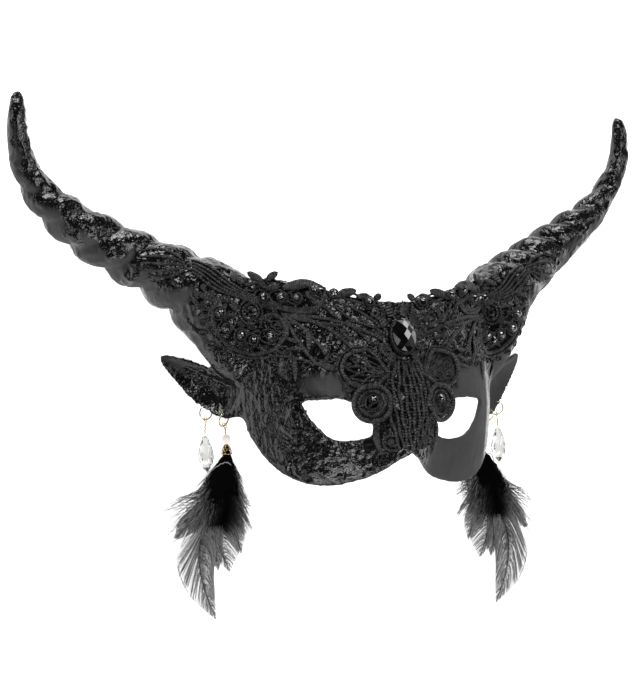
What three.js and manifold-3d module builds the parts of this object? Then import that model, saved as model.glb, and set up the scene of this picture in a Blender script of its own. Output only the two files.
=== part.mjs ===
// Horned devil eye mask: a moulded half mask with two spiral horns and two goat ears, dressed
// with a guipure lace applique, black stones and a pair of earrings with crystals and feathers.
//
// Lengths are in millimetres, +Z is up. The mask lies face up, as it lies on a table: on the
// undersides of its horns and on the tips of its ears. Most pieces are drawn in the mask's own
// frame: the centre gem at (0, 0, 0), +X to the viewer's right, +Y to the horn tips, +Z out of
// the face. The earrings lie on the table and are drawn straight in the table's frame.

import * as THREE from 'three';
import { mergeVertices } from 'three/addons/utils/BufferGeometryUtils.js';
import Module from 'manifold-3d';

const wasm = await Module();
wasm.setup();

// How the mask lies
const LYING_TILT = THREE.MathUtils.degToRad(12);
const GEM_ABOVE_TABLE = 77.5;
const TABLE_SIZE = 600;
const TABLE_DEPTH = 40;

// Face shell
const HALF_WIDTH = 82;
const SHELL = 3;
const SIDE_DROP = 44;
const SIDE_POWER = 3.75;
const EYE_LEVEL = -38;
const FOREHEAD_DROP = 6;
const FOREHEAD_SPAN = 38;
const FOREHEAD_POWER = 1.4;
const CHEEK_DROP = 8;
const CHEEK_SPAN = 46;
const NOSE_RISE = 14.6;
const NOSE_WIDTH = 18;
const NOSE_TOP = 18;
const NOSE_LENGTH = 82;
const SHELL_COLUMNS = 30;
const SHELL_ROWS = 8;
const SLOPE_STEP = 0.1;

// Room behind the shell for the wearer's face: how low, high and far back it reaches
const ROOM_LOW = -100;
const ROOM_HIGH = 70;
const ROOM_BACK = -160;
const ROOM_GAP = 0.2;

// Outlines of one half of the face, from the middle out to the side: [x, y]
const TOP_EDGE = [[0, 20], [12, 20.6], [24, 22.6], [38, 26], [50, 29.3], [61, 31.6], [70, 33.5], [82, 34]];
const CHIN_EDGE = [
  [0, -65.5], [7, -69.5], [15, -75.8], [24, -80.6], [40, -83.8], [54, -82.3], [64, -77.3], [72, -68.5],
  [77.5, -57.5], [82, -44],
];
const EYE_OUTER_CORNER = [58.3, -36];
const EYE_INNER_CORNER = [20.5, -55.4];
const EYE_UPPER_LID = [[48, -34.6], [38, -34.8], [30, -36.6], [24, -41.5], [20.4, -49]];
const EYE_LOWER_LID = [[28, -57.6], [36, -57.8], [43, -56.2], [49, -51.8], [54, -45.5]];
const LID_STEPS = 7;
const EYE_CUT_BACK = -40;
const EYE_CUT_DEPTH = 60;

// Horns: centre line, radius, how flat the section is towards the face, and how far the two
// hand-made horns lean to the wearer's right, all from the root inside the forehead to the tip
const HORN_STATIONS = [
  { at: [66, 0, -46], radius: 33, flat: 0.38, lean: 0 },
  { at: [76, 6, -50], radius: 30, flat: 0.5, lean: 0 },
  { at: [88, 15.5, -55], radius: 25, flat: 0.74, lean: 0 },
  { at: [103, 27, -62], radius: 21.5, flat: 0.95, lean: 0 },
  { at: [120, 37.5, -68.4], radius: 18.3, flat: 1, lean: 0.5 },
  { at: [140, 49, -75.2], radius: 15.9, flat: 1, lean: 2.4 },
  { at: [159, 60.5, -78.1], radius: 14, flat: 1, lean: 4.5 },
  { at: [177, 73.5, -81.2], radius: 11.7, flat: 1, lean: 3.4 },
  { at: [191.5, 90, -85], radius: 9.1, flat: 1, lean: 1.3 },
  { at: [198.5, 107, -84.5], radius: 6.8, flat: 1, lean: 0 },
  { at: [200, 122, -84], radius: 5.4, flat: 1, lean: 0 },
  { at: [199, 134, -85], radius: 3, flat: 1, lean: 0 },
];
const HORN_RINGS = 40;
const HORN_SIDES = 14;
const RIDGE_PITCH = 21;
const RIDGE_STARTS = 2;
const RIDGE_DEPTH = 0.17;
const RIDGE_GROOVE = 0.2;
const RIDGES_BEGIN = 0.2;
const RIDGES_END = 0.8;
const RIDGE_FADE = 0.12;
const RIDGE_UNDERSIDE = 0.3;
const TIP_ROUNDING = 3;
const TIP_CAP = 0.45;

// Ears: a cupped leaf in its own plane, from its root in the temple to its tip
const EAR_ROOT = [87.7, -31.4, -47.3];
const EAR_AXIS = [0.675, 0.424, -0.625];
const EAR_LENGTH = 47;
const EAR_TIP_LEAN = 3;
const EAR_ACROSS = [-0.265, 0.903, 0.335];
const EAR_EDGES = [
  { along: -15, upper: 9, lower: 9 },
  { along: -5, upper: 10.5, lower: 14.5 },
  { along: 6, upper: 9.4, lower: 15 },
  { along: 17, upper: 8, lower: 13.4 },
  { along: 28, upper: 6.4, lower: 10 },
  { along: 38, upper: 4.6, lower: 6.4 },
  { along: 44, upper: 2.8, lower: 3.6 },
  { along: 47, upper: 0.7, lower: 0.7 },
];
const EAR_CUP = 6.5;
const EAR_CUP_HALF = 12;
const EAR_CUP_FADE = 30;
const EAR_THICKNESS = 2.6;
const EAR_EDGE_THINNING = 0.5;
const EAR_SPANS = 8;

// Lace applique: a thin skin over the brow and the horn roots, with a scalloped edge: [x, y]
const LACE_GAP = 0.7;
const LACE_REACH = 2;
const LACE_THICKNESS = 1.4;
const LACE_UPPER = [[0, 16.5], [24, 19], [50, 25.5], [70, 31], [91, 33], [104, 39], [122, 46], [141, 56]];
const LACE_LOWER = [
  [0, -64], [7, -63], [14, -50], [22, -52], [30, -42], [36, -22], [50, -16], [70, -12], [91, 0], [104, 15],
  [122, 30], [141, 45],
];
const LACE_SCALLOPS = 30;
const LACE_SCALLOP_DEPTH = 1.6;
const LACE_COLUMNS = 60;
const LACE_ROWS = 5;

// Stones: the centre gem and the pairs of small ones set in the lace: [x, y]
const GEM = { width: 15.5, height: 21, depth: 6, gap: 1.1 };
const GEM_SIDES = 12;
const STONE_DIAMETER = 4.2;
const STONE_DEPTH = 2.4;
const STONE_SIDES = 6;
const STONE_GAP = 0.5;
const STONE_LEVELS = [{ scale: 0.86, level: 0 }, { scale: 1, level: 0.3 }, { scale: 0.55, level: 1 }];
const RIM_SAMPLES = 12;
const STONE_PLACES = [
  [97, 13.5], [93.5, 5], [84.5, 1], [78, -2], [70, 0.5], [71.5, 22.5], [64, 22.5], [57, 22], [47.5, 26.5],
  [37.5, 24], [17, 19.5], [21.5, -34.5],
];

// Earrings. A silver ring through each ear carries a crystal drop on a bail, and a gold ring an
// eye pin with a pearl, a filigree cap and a bundle of feathers.
const WIRE = 0.9;
const WIRE_SIDES = 5;
const RING_SEGMENTS = 16;
const LOOP_SEGMENTS = 10;
const SHANK_SIDES = 6;
const RING_DIAMETER = 9;
const RING_ROOM = 0.4;
const TOUCH = 0.3;
const SILVER_HOLE = { along: 9, across: -12.7, depth: -2.5 };
const GOLD_HOLE = { along: -2, across: -12.4, depth: -3 };
const CRYSTAL_PROFILE = [[0, 0], [1.3, 1], [2.2, 3.4], [4.7, 11], [4.3, 14], [2.4, 19.2], [0, 21.5]];
const CRYSTAL_SIDES = 8;
const BAIL = { loop: 3.4, wire: 0.7, thick: 1.1 };
const EYE_PIN = { loop: 3.6, wire: 0.7, thick: 0.8 };
const PEARL_DIAMETER = 5.4;
const PEARL_SEGMENTS = [10, 6];
const CAP_PROFILE = [[0, 0], [1.4, 0], [2.3, 1.4], [2.9, 3.6], [3.2, 6], [2.7, 6], [2.3, 3.4], [0, 2]];
const CAP_SIDES = 12;

// Where each earring lies on the table, and the way its rings face
const EARRINGS = [
  {
    name: 'left', side: -1, silverFaces: [0.11, -0.385, 0.916], goldFaces: [0.445, -0.442, 0.78],
    crystalTop: [-95.3, -42, 6.6], crystalEnd: [-94.3, -63.2, 3.2], pearl: [-82.4, -44.4, 7.2],
    bundleTop: [-82, -53.2, 5.4], bundleSwing: 0,
  },
  {
    name: 'right', side: 1, silverFaces: [-0.454, -0.185, 0.87], goldFaces: [-0.445, -0.442, 0.78],
    crystalTop: [98.4, -40.4, 6.6], crystalEnd: [98.8, -61.6, 3.2], pearl: [83, -42.4, 7.2],
    bundleTop: [82.4, -51.2, 5.4], bundleSwing: THREE.MathUtils.degToRad(5.5),
  },
];

// Feather bundle from its cap to its tip, drawn for the wearer's right: offset from its top
// sideways and down the table, height of its middle, half width and half thickness
const BUNDLE = [
  { out: 0, down: 0.8, height: 5.4, half: 2.4, thick: 2.4 },
  { out: 2.2, down: 9, height: 6.2, half: 6, thick: 5.8 },
  { out: 5.8, down: 19, height: 8, half: 9.5, thick: 7.6 },
  { out: 9.4, down: 30, height: 8.8, half: 12, thick: 8.4 },
  { out: 13.8, down: 42, height: 6.6, half: 12.5, thick: 6.2 },
  { out: 19, down: 53, height: 4.2, half: 11.5, thick: 3.8 },
  { out: 20.8, down: 64, height: 2.6, half: 10.5, thick: 2.2 },
  { out: 18.7, down: 77.5, height: 1.8, half: 7.5, thick: 1.4 },
  { out: 14, down: 92.6, height: 1.3, half: 0.9, thick: 0.9 },
];
const BUNDLE_SIDES = 10;

const WELD_DISTANCE = 1e-4;
const RAY_START = 100;

const materials = {
  shell: new THREE.MeshStandardMaterial({ color: 0x151515, roughness: 0.42, metalness: 0 }),
  lace: new THREE.MeshStandardMaterial({ color: 0x0c0c0c, roughness: 0.9, metalness: 0 }),
  stone: new THREE.MeshStandardMaterial({ color: 0x050505, roughness: 0.08, metalness: 0 }),
  crystal: new THREE.MeshStandardMaterial({ color: 0xe8ecef, roughness: 0.03, metalness: 0 }),
  silver: new THREE.MeshStandardMaterial({ color: 0xc8c6c0, roughness: 0.25, metalness: 1 }),
  gold: new THREE.MeshStandardMaterial({ color: 0xd2b26a, roughness: 0.28, metalness: 1 }),
  pearl: new THREE.MeshStandardMaterial({ color: 0xf3e6d8, roughness: 0.22, metalness: 0 }),
  feather: new THREE.MeshStandardMaterial({ color: 0x2a2a2c, roughness: 0.85, metalness: 0 }),
};

const vector = ([x, y, z]) => new THREE.Vector3(x, y, z);
const clamp01 = (value) => Math.min(1, Math.max(0, value));
const ease = (value) => clamp01(value) ** 2 * (3 - 2 * clamp01(value));

// A smooth curve through a table of [position, value] pairs, in order of position
function smoothThrough(table, position) {
  const last = table.length - 1;
  let i = 0;
  while (i < last - 1 && position > table[i + 1][0]) i += 1;
  const [x0, y0] = table[i];
  const [x1, y1] = table[i + 1];
  const before = table[Math.max(0, i - 1)];
  const after = table[Math.min(last, i + 2)];
  const slope0 = (y1 - before[1]) / (x1 - before[0]);
  const slope1 = (after[1] - y0) / (after[0] - x0);
  const span = x1 - x0;
  const t = clamp01((position - x0) / span);
  const stay = 2 * t ** 3 - 3 * t ** 2 + 1;
  const rise = t ** 3 - 2 * t ** 2 + t;
  const land = t ** 3 - t ** 2;
  return stay * y0 + (1 - stay) * y1 + span * (rise * slope0 + land * slope1);
}

// Geometry with shared vertices only, as closed bodies need
function welded(geometry) {
  geometry.deleteAttribute('normal');
  geometry.deleteAttribute('uv');
  const merged = mergeVertices(geometry, WELD_DISTANCE);
  merged.computeVertexNormals();
  return merged;
}

function fromTriangles(points, triangles) {
  const geometry = new THREE.BufferGeometry();
  const numbers = points.flatMap((p) => [p.x, p.y, p.z]);
  geometry.setAttribute('position', new THREE.Float32BufferAttribute(numbers, 3));
  geometry.setIndex(triangles.flat());
  return geometry;
}

function toSolid(geometry) {
  const merged = welded(geometry);
  return new wasm.Manifold(new wasm.Mesh({
    numProp: 3,
    vertProperties: new Float32Array(merged.attributes.position.array),
    triVerts: new Uint32Array(merged.index.array),
  }));
}

function toGeometry(solid) {
  const mesh = solid.getMesh();
  const geometry = new THREE.BufferGeometry();
  geometry.setAttribute('position', new THREE.Float32BufferAttribute(mesh.vertProperties, 3));
  geometry.setIndex([...mesh.triVerts]);
  geometry.computeVertexNormals();
  return geometry;
}

// A solid through closed loops of points, each turning to the left seen from the loop before
function loft(loops) {
  const count = loops[0].length;
  const points = loops.flat();
  const triangles = [];
  for (let i = 0; i < loops.length - 1; i += 1) {
    for (let j = 0; j < count; j += 1) {
      const next = (j + 1) % count;
      const a = i * count + j;
      const b = i * count + next;
      triangles.push([a, b, a + count], [b, b + count, a + count]);
    }
  }
  for (const [loop, flip] of [[0, true], [loops.length - 1, false]]) {
    const centre = new THREE.Vector3();
    loops[loop].forEach((p) => centre.addScaledVector(p, 1 / count));
    const hub = points.push(centre) - 1;
    for (let j = 0; j < count; j += 1) {
      const a = loop * count + j;
      const b = loop * count + ((j + 1) % count);
      triangles.push(flip ? [hub, b, a] : [hub, a, b]);
    }
  }
  return fromTriangles(points, triangles);
}

// A plate between two sheets of points, upper[i][j] and lower[i][j], with i along +X, j along +Y
function plate(upper, lower) {
  const columns = upper.length;
  const rows = upper[0].length;
  const points = [...upper.flat(), ...lower.flat()];
  const below = columns * rows;
  const at = (i, j) => i * rows + j;
  const triangles = [];
  const quad = (a, b, c, d) => triangles.push([a, b, c], [a, c, d]);
  for (let i = 0; i < columns - 1; i += 1) {
    for (let j = 0; j < rows - 1; j += 1) {
      quad(at(i, j), at(i + 1, j), at(i + 1, j + 1), at(i, j + 1));
      quad(below + at(i, j), below + at(i, j + 1), below + at(i + 1, j + 1), below + at(i + 1, j));
    }
  }
  const rim = [];
  for (let i = 0; i < columns; i += 1) rim.push(at(i, 0));
  for (let j = 1; j < rows; j += 1) rim.push(at(columns - 1, j));
  for (let i = columns - 2; i >= 0; i -= 1) rim.push(at(i, rows - 1));
  for (let j = rows - 2; j > 0; j -= 1) rim.push(at(0, j));
  rim.forEach((a, k) => {
    const b = rim[(k + 1) % rim.length];
    quad(b, a, below + a, below + b);
  });
  return fromTriangles(points, triangles);
}

// Height of the moulded face at a place, without its horns and ears
function faceHeight(x, y) {
  const side = -SIDE_DROP * (Math.abs(x) / HALF_WIDTH) ** SIDE_POWER;
  const above = -FOREHEAD_DROP * (Math.max(0, y - EYE_LEVEL) / FOREHEAD_SPAN) ** FOREHEAD_POWER;
  const below = -CHEEK_DROP * (Math.max(0, EYE_LEVEL - y) / CHEEK_SPAN) ** 2;
  const nose = NOSE_RISE * ease((NOSE_TOP - y) / NOSE_LENGTH) * Math.exp(-((x / NOSE_WIDTH) ** 2));
  return side + above + below + nose;
}

function faceNormal(x, y) {
  const slopeX = (faceHeight(x + SLOPE_STEP, y) - faceHeight(x - SLOPE_STEP, y)) / (2 * SLOPE_STEP);
  const slopeY = (faceHeight(x, y + SLOPE_STEP) - faceHeight(x, y - SLOPE_STEP)) / (2 * SLOPE_STEP);
  return new THREE.Vector3(-slopeX, -slopeY, 1).normalize();
}

function facePoint(x, y, inward) {
  return new THREE.Vector3(x, y, faceHeight(x, y)).addScaledVector(faceNormal(x, y), -inward);
}

// Columns crowd towards the sides, where the face turns back
function sheet(lowEdge, highEdge, place) {
  const columns = [];
  for (let i = 0; i <= SHELL_COLUMNS; i += 1) {
    const x = HALF_WIDTH * Math.sin(((2 * i) / SHELL_COLUMNS - 1) * (Math.PI / 2));
    const low = lowEdge(Math.abs(x));
    const high = highEdge(Math.abs(x));
    const rows = Array.from({ length: SHELL_ROWS + 1 }, (_, j) => low + ((high - low) * j) / SHELL_ROWS);
    columns.push(rows.map((y) => place(x, y)));
  }
  return columns;
}

function faceShell() {
  const chin = (x) => smoothThrough(CHIN_EDGE, x);
  const brow = (x) => smoothThrough(TOP_EDGE, x);
  const outside = sheet(chin, brow, (x, y) => facePoint(x, y, 0));
  const inside = sheet(chin, brow, (x, y) => facePoint(x, y, SHELL));
  return toSolid(plate(outside, inside));
}

// The room for the wearer's face behind the shell, which no horn or ear root may fill
function wearersRoom() {
  const ceiling = sheet(() => ROOM_LOW, () => ROOM_HIGH, (x, y) => facePoint(x, y, SHELL - ROOM_GAP));
  const floor = ceiling.map((column) => column.map((p) => new THREE.Vector3(p.x, p.y, ROOM_BACK)));
  return toSolid(plate(ceiling, floor));
}

function eyeHole(side) {
  const lid = (places) => {
    const curve = new THREE.SplineCurve(places.map(([x, y]) => new THREE.Vector2(x, y)));
    return curve.getPoints(LID_STEPS).slice(0, -1);
  };
  const outline = [
    ...lid([EYE_OUTER_CORNER, ...EYE_UPPER_LID, EYE_INNER_CORNER]),
    ...lid([EYE_INNER_CORNER, ...EYE_LOWER_LID, EYE_OUTER_CORNER]),
  ];
  const shape = new THREE.Shape(outline.map((p) => new THREE.Vector2(side * p.x, p.y)));
  const hole = new THREE.ExtrudeGeometry(shape, { depth: EYE_CUT_DEPTH, bevelEnabled: false });
  hole.translate(0, 0, EYE_CUT_BACK);
  return toSolid(hole);
}

const hornLine = new THREE.CatmullRomCurve3(HORN_STATIONS.map(({ at }) => vector(at)));

// The horn at a part of its stations' count, 0 at the root and 1 at the tip
function hornAt(t) {
  const along = t * (HORN_STATIONS.length - 1);
  const read = (key) => smoothThrough(HORN_STATIONS.map((station, i) => [i, station[key]]), along);
  return {
    centre: hornLine.getPoint(t),
    tangent: hornLine.getTangent(t),
    radius: read('radius'),
    flat: read('flat'),
    lean: read('lean'),
  };
}

// A twisted groove runs round the horn, deepest on the underside and gone at the root and tip
function ridgeFactor(turn, lengthAlong, t) {
  const cycles = lengthAlong / RIDGE_PITCH + (RIDGE_STARTS * turn) / (2 * Math.PI);
  const offset = cycles - Math.round(cycles);
  const groove = Math.exp(-((offset / RIDGE_GROOVE) ** 2));
  const span = ease((t - RIDGES_BEGIN) / RIDGE_FADE) * ease((RIDGES_END - t) / RIDGE_FADE);
  return 1 - RIDGE_DEPTH * groove * span * (1 - RIDGE_UNDERSIDE * Math.sin(turn));
}

function horn(side) {
  const loops = [];
  let lengthAlong = 0;
  let previous = hornAt(0).centre;
  for (let i = 0; i <= HORN_RINGS; i += 1) {
    const t = i / HORN_RINGS;
    const { centre, tangent, radius, flat, lean } = hornAt(t);
    lengthAlong += centre.distanceTo(previous);
    previous = centre;
    const up = new THREE.Vector3(-tangent.y, tangent.x, 0).normalize();
    const front = new THREE.Vector3().crossVectors(tangent, up);
    const loop = [];
    for (let j = 0; j < HORN_SIDES; j += 1) {
      const turn = (2 * Math.PI * j) / HORN_SIDES;
      const reach = radius * ridgeFactor(turn, lengthAlong, t);
      const point = centre.clone()
        .addScaledVector(up, reach * Math.sin(turn))
        .addScaledVector(front, reach * flat * Math.cos(turn));
      loop.push(new THREE.Vector3(side * point.x - lean, point.y, point.z));
    }
    loops.push(side > 0 ? loop.reverse() : loop);
  }
  const end = hornAt(1);
  const mirrored = ({ x, y, z }) => new THREE.Vector3(side * x, y, z);
  const beyond = mirrored(end.tangent.clone().multiplyScalar(TIP_ROUNDING));
  const apex = mirrored(end.centre).add(beyond);
  loops.push(loops[loops.length - 1].map((p) => apex.clone().lerp(p.clone().add(beyond), TIP_CAP)));
  return toSolid(loft(loops));
}

function earPoint(side, along, across, depth) {
  const axis = vector(EAR_AXIS);
  const acrossAxis = vector(EAR_ACROSS);
  const out = new THREE.Vector3().crossVectors(axis, acrossAxis).normalize();
  const lean = EAR_TIP_LEAN * ease(along / EAR_LENGTH);
  const point = vector(EAR_ROOT)
    .addScaledVector(axis, along)
    .addScaledVector(acrossAxis, across)
    .addScaledVector(out, depth);
  return new THREE.Vector3(side * point.x + lean, point.y, point.z);
}

function ear(side) {
  const loops = EAR_EDGES.map(({ along, upper, lower }) => {
    const middle = (upper - lower) / 2;
    const half = (upper + lower) / 2;
    const cup = EAR_CUP * (half / EAR_CUP_HALF) * ease((EAR_LENGTH - along) / EAR_CUP_FADE);
    const thickness = Math.min(EAR_THICKNESS, half);
    const front = [];
    const back = [];
    for (let k = 0; k <= EAR_SPANS; k += 1) {
      const v = (2 * k) / EAR_SPANS - 1;
      const sag = -cup * (1 - v * v);
      const wall = thickness * (1 - EAR_EDGE_THINNING * v ** 4);
      front.push(earPoint(side, along, middle + half * v, sag));
      back.push(earPoint(side, along, middle + half * v, sag - wall));
    }
    const loop = [...front, ...back.reverse()];
    return side > 0 ? loop.reverse() : loop;
  });
  return toSolid(loft(loops));
}

// The table's top as a thick slab in the mask's frame, which makes the small flat rest spots
function tableSlab() {
  const slab = new THREE.BoxGeometry(TABLE_SIZE, TABLE_SIZE, TABLE_DEPTH);
  slab.translate(0, 0, -TABLE_DEPTH / 2 - GEM_ABOVE_TABLE);
  slab.rotateX(-LYING_TILT);
  return toSolid(slab);
}

function maskBody(ringCutters) {
  const room = wearersRoom();
  let body = faceShell();
  for (const side of [-1, 1]) {
    body = body.add(horn(side).add(ear(side)).subtract(room));
  }
  for (const side of [-1, 1]) body = body.subtract(eyeHole(side));
  ringCutters.forEach((cutter) => { body = body.subtract(cutter); });
  return toGeometry(body.subtract(tableSlab()));
}

// Height and outward direction of whatever lies at a place, seen from the front
function frontOf(mesh, x, y) {
  const ray = new THREE.Raycaster(new THREE.Vector3(x, y, RAY_START), new THREE.Vector3(0, 0, -1));
  const [hit] = ray.intersectObject(mesh);
  if (hit) return { point: hit.point, normal: hit.face.normal };
  return { point: facePoint(x, y, 0), normal: faceNormal(x, y) };
}

// The highest of the places around a point, so that a facet between such points stays clear
function crestNear(mesh, x, y) {
  const around = [[0, 0], [1, 0], [-1, 0], [0, 1], [0, -1]];
  return Math.max(...around.map(([i, j]) => frontOf(mesh, x + i * LACE_REACH, y + j * LACE_REACH).point.z));
}

function laceApplique(body) {
  const reach = LACE_UPPER[LACE_UPPER.length - 1][0];
  const upper = [];
  const lower = [];
  const scallopTurn = (LACE_SCALLOPS * Math.PI) / (2 * LACE_COLUMNS);
  for (let i = 0; i <= LACE_COLUMNS; i += 1) {
    const x = reach * ((2 * i) / LACE_COLUMNS - 1);
    const scallop = LACE_SCALLOP_DEPTH * Math.abs(Math.sin(scallopTurn * i));
    const high = smoothThrough(LACE_UPPER, Math.abs(x)) + scallop;
    const low = smoothThrough(LACE_LOWER, Math.abs(x)) - scallop;
    const rows = Array.from({ length: LACE_ROWS + 1 }, (_, j) => low + ((high - low) * j) / LACE_ROWS);
    const heights = rows.map((y) => crestNear(body, x, y) + LACE_GAP);
    upper.push(rows.map((y, j) => new THREE.Vector3(x, y, heights[j] + LACE_THICKNESS)));
    lower.push(rows.map((y, j) => new THREE.Vector3(x, y, heights[j])));
  }
  return welded(plate(upper, lower));
}

// A cut stone: flat back, girdle, sloping crown and flat table
function cutStone(width, height, depth, sides) {
  const loops = STONE_LEVELS.map(({ scale, level }, k) => Array.from({ length: sides }, (_, j) => {
    const turn = (2 * Math.PI * (j + (k % 2) / 2)) / sides;
    const x = (scale * width * Math.cos(turn)) / 2;
    const y = (scale * height * Math.sin(turn)) / 2;
    return new THREE.Vector3(x, y, level * depth);
  }));
  return welded(loft(loops));
}

function named(name, geometry, material) {
  const mesh = new THREE.Mesh(geometry, material);
  mesh.name = name;
  return mesh;
}

// Places a geometry drawn along +Z at a point, turned to point along a direction
function aimed(geometry, from, direction) {
  const way = direction.clone().normalize();
  const turn = new THREE.Quaternion().setFromUnitVectors(new THREE.Vector3(0, 0, 1), way);
  return geometry.applyQuaternion(turn).translate(from.x, from.y, from.z);
}

const maskFrame = new THREE.Group();
maskFrame.rotation.x = LYING_TILT;
maskFrame.position.z = GEM_ABOVE_TABLE;
maskFrame.updateMatrix();
const table = new THREE.Group();
const part = new THREE.Group();
part.add(maskFrame, table);

const onTable = (point) => point.clone().applyMatrix4(maskFrame.matrix);

// A ring that hangs from a hole towards its load, and the frame of its lowest point
function hangingRing(side, hole, load, faces) {
  const from = onTable(earPoint(side, hole.along, hole.across, hole.depth));
  const down = vector(load).sub(from).normalize();
  const normal = vector(faces).addScaledVector(down, -vector(faces).dot(down)).normalize();
  const radius = (RING_DIAMETER - WIRE) / 2;
  const centre = from.clone().addScaledVector(down, radius);
  const ring = (wire) => {
    const torus = new THREE.TorusGeometry(radius, wire / 2, WIRE_SIDES, RING_SEGMENTS);
    return aimed(torus, centre, normal);
  };
  const lowest = centre.clone().addScaledVector(down, radius);
  return { ring, down, lowest, tangent: normal.clone().cross(down) };
}

// A wire loop round a ring's lowest point, with a shank that runs to the next piece
function loopAndShank(hanging, pin, end) {
  const radius = (pin.loop - pin.wire) / 2;
  const torus = new THREE.TorusGeometry(radius, pin.wire / 2, WIRE_SIDES, LOOP_SEGMENTS);
  const loop = aimed(torus, hanging.lowest, hanging.tangent);
  const way = end.clone().sub(hanging.lowest);
  const reach = way.length() - radius;
  way.normalize();
  const wire = new THREE.CylinderGeometry(pin.thick / 2, pin.thick / 2, reach, SHANK_SIDES);
  const middle = hanging.lowest.clone().addScaledVector(way, radius + reach / 2);
  const shank = aimed(wire.rotateX(Math.PI / 2), middle, way);
  return welded(toGeometry(toSolid(loop).add(toSolid(shank))));
}

function turned(profile, sides) {
  const points = profile.map(([radius, along]) => new THREE.Vector2(radius, along));
  return new THREE.LatheGeometry(points, sides).rotateX(Math.PI / 2);
}

function featherBundle({ side, bundleTop, bundleSwing }) {
  const top = vector(bundleTop);
  const swing = -side * bundleSwing;
  const stations = BUNDLE.map(({ out, down, height }) => {
    const offset = new THREE.Vector3(side * out, -down, height - top.z);
    return offset.applyAxisAngle(new THREE.Vector3(0, 0, 1), swing).add(top);
  });
  const loops = stations.map((centre, i) => {
    const before = stations[Math.max(0, i - 1)];
    const after = stations[Math.min(stations.length - 1, i + 1)];
    const way = after.clone().sub(before).setZ(0).normalize();
    const across = new THREE.Vector3(-way.y, way.x, 0);
    const { half, thick } = BUNDLE[i];
    return Array.from({ length: BUNDLE_SIDES }, (_, j) => {
      const turn = (2 * Math.PI * j) / BUNDLE_SIDES;
      const rise = new THREE.Vector3(0, 0, thick * Math.sin(turn));
      return centre.clone().addScaledVector(across, half * Math.cos(turn)).add(rise);
    });
  });
  return welded(loft(loops));
}

const earrings = EARRINGS.map((earring) => ({
  ...earring,
  silver: hangingRing(earring.side, SILVER_HOLE, earring.crystalTop, earring.silverFaces),
  gold: hangingRing(earring.side, GOLD_HOLE, earring.pearl, earring.goldFaces),
}));

// Each ring has its own pierced slot in the ear, cut along the ring's path
const toMask = maskFrame.matrix.clone().invert();
const slots = earrings.flatMap(({ silver, gold }) => [silver, gold])
  .map(({ ring }) => toSolid(ring(WIRE + 2 * RING_ROOM).applyMatrix4(toMask)));

const body = named('mask_body', maskBody(slots), materials.shell);
const lace = named('lace_applique', laceApplique(body), materials.lace);
maskFrame.add(body, lace);

// A stone sits square on the lace, just clear of the highest thread under its rim
function setStone(name, geometry, x, y, gap) {
  const { point, normal } = frontOf(lace, x, y);
  geometry.computeBoundingBox();
  const { max } = geometry.boundingBox;
  let lift = 0;
  for (let j = 0; j < RIM_SAMPLES; j += 1) {
    const turn = (2 * Math.PI * j) / RIM_SAMPLES;
    const rim = frontOf(lace, x + max.x * Math.cos(turn), y + max.y * Math.sin(turn)).point;
    lift = Math.max(lift, rim.sub(point).dot(normal));
  }
  const stone = named(name, geometry, materials.stone);
  stone.position.copy(point).addScaledVector(normal, gap + lift);
  stone.quaternion.setFromUnitVectors(new THREE.Vector3(0, 0, 1), normal);
  maskFrame.add(stone);
}

setStone('centre_gem', cutStone(GEM.width, GEM.height, GEM.depth, GEM_SIDES), 0, 0, GEM.gap);
STONE_PLACES.forEach(([x, y], i) => {
  for (const { side, name } of EARRINGS) {
    const stone = cutStone(STONE_DIAMETER, STONE_DIAMETER, STONE_DEPTH, STONE_SIDES);
    setStone(`stone_${name}_${i + 1}`, stone, side * x, y, STONE_GAP);
  }
});

for (const { name, silver, gold, crystalTop, crystalEnd, pearl, ...bundle } of earrings) {
  const crystalFrom = vector(crystalTop);
  const crystalWay = vector(crystalEnd).sub(crystalFrom);
  const pearlAt = vector(pearl);
  const capWay = vector(bundle.bundleTop).sub(pearlAt).normalize();
  const capFrom = pearlAt.clone().addScaledVector(capWay, PEARL_DIAMETER / 2 + TOUCH);
  const bailEnd = crystalFrom.clone().addScaledVector(silver.down, -TOUCH);
  const pinEnd = pearlAt.clone().addScaledVector(gold.down, -PEARL_DIAMETER / 2 - TOUCH);
  const drop = welded(aimed(turned(CRYSTAL_PROFILE, CRYSTAL_SIDES), crystalFrom, crystalWay));
  const bead = welded(new THREE.SphereGeometry(PEARL_DIAMETER / 2, ...PEARL_SEGMENTS).translate(...pearl));
  const cap = welded(aimed(turned(CAP_PROFILE, CAP_SIDES), capFrom, capWay));
  table.add(
    named(`silver_ring_${name}`, welded(silver.ring(WIRE)), materials.silver),
    named(`crystal_bail_${name}`, loopAndShank(silver, BAIL, bailEnd), materials.gold),
    named(`crystal_drop_${name}`, drop, materials.crystal),
    named(`gold_ring_${name}`, welded(gold.ring(WIRE)), materials.gold),
    named(`eye_pin_${name}`, loopAndShank(gold, EYE_PIN, pinEnd), materials.gold),
    named(`pearl_${name}`, bead, materials.pearl),
    named(`filigree_cap_${name}`, cap, materials.gold),
    named(`feather_bundle_${name}`, featherBundle(bundle), materials.feather),
  );
}

// The origin is under the middle of the whole part, on the table
part.updateMatrixWorld(true);
const whole = new THREE.Box3().setFromObject(part, true);
const middle = whole.getCenter(new THREE.Vector3());
part.position.set(-middle.x, -middle.y, 0);

export default part;
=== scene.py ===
"""Looks of a horned devil half mask: crinkled black lacquer, corded lace, cut stones and feather earrings.

Unless a name says otherwise, places are millimetres in the mask's own frame: the centre gem at the
origin, +X to the viewer's right, +Y to the horn tips and +Z out of the face. The earrings and their
feathers lie on the table, and are drawn in the table's frame. Both are turned to metres at the end.
"""
import math
import random
from functools import partial

import bpy
import numpy as np
from mathutils import Matrix, Vector, noise
from mathutils.bvhtree import BVHTree
from mathutils.kdtree import KDTree


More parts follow.
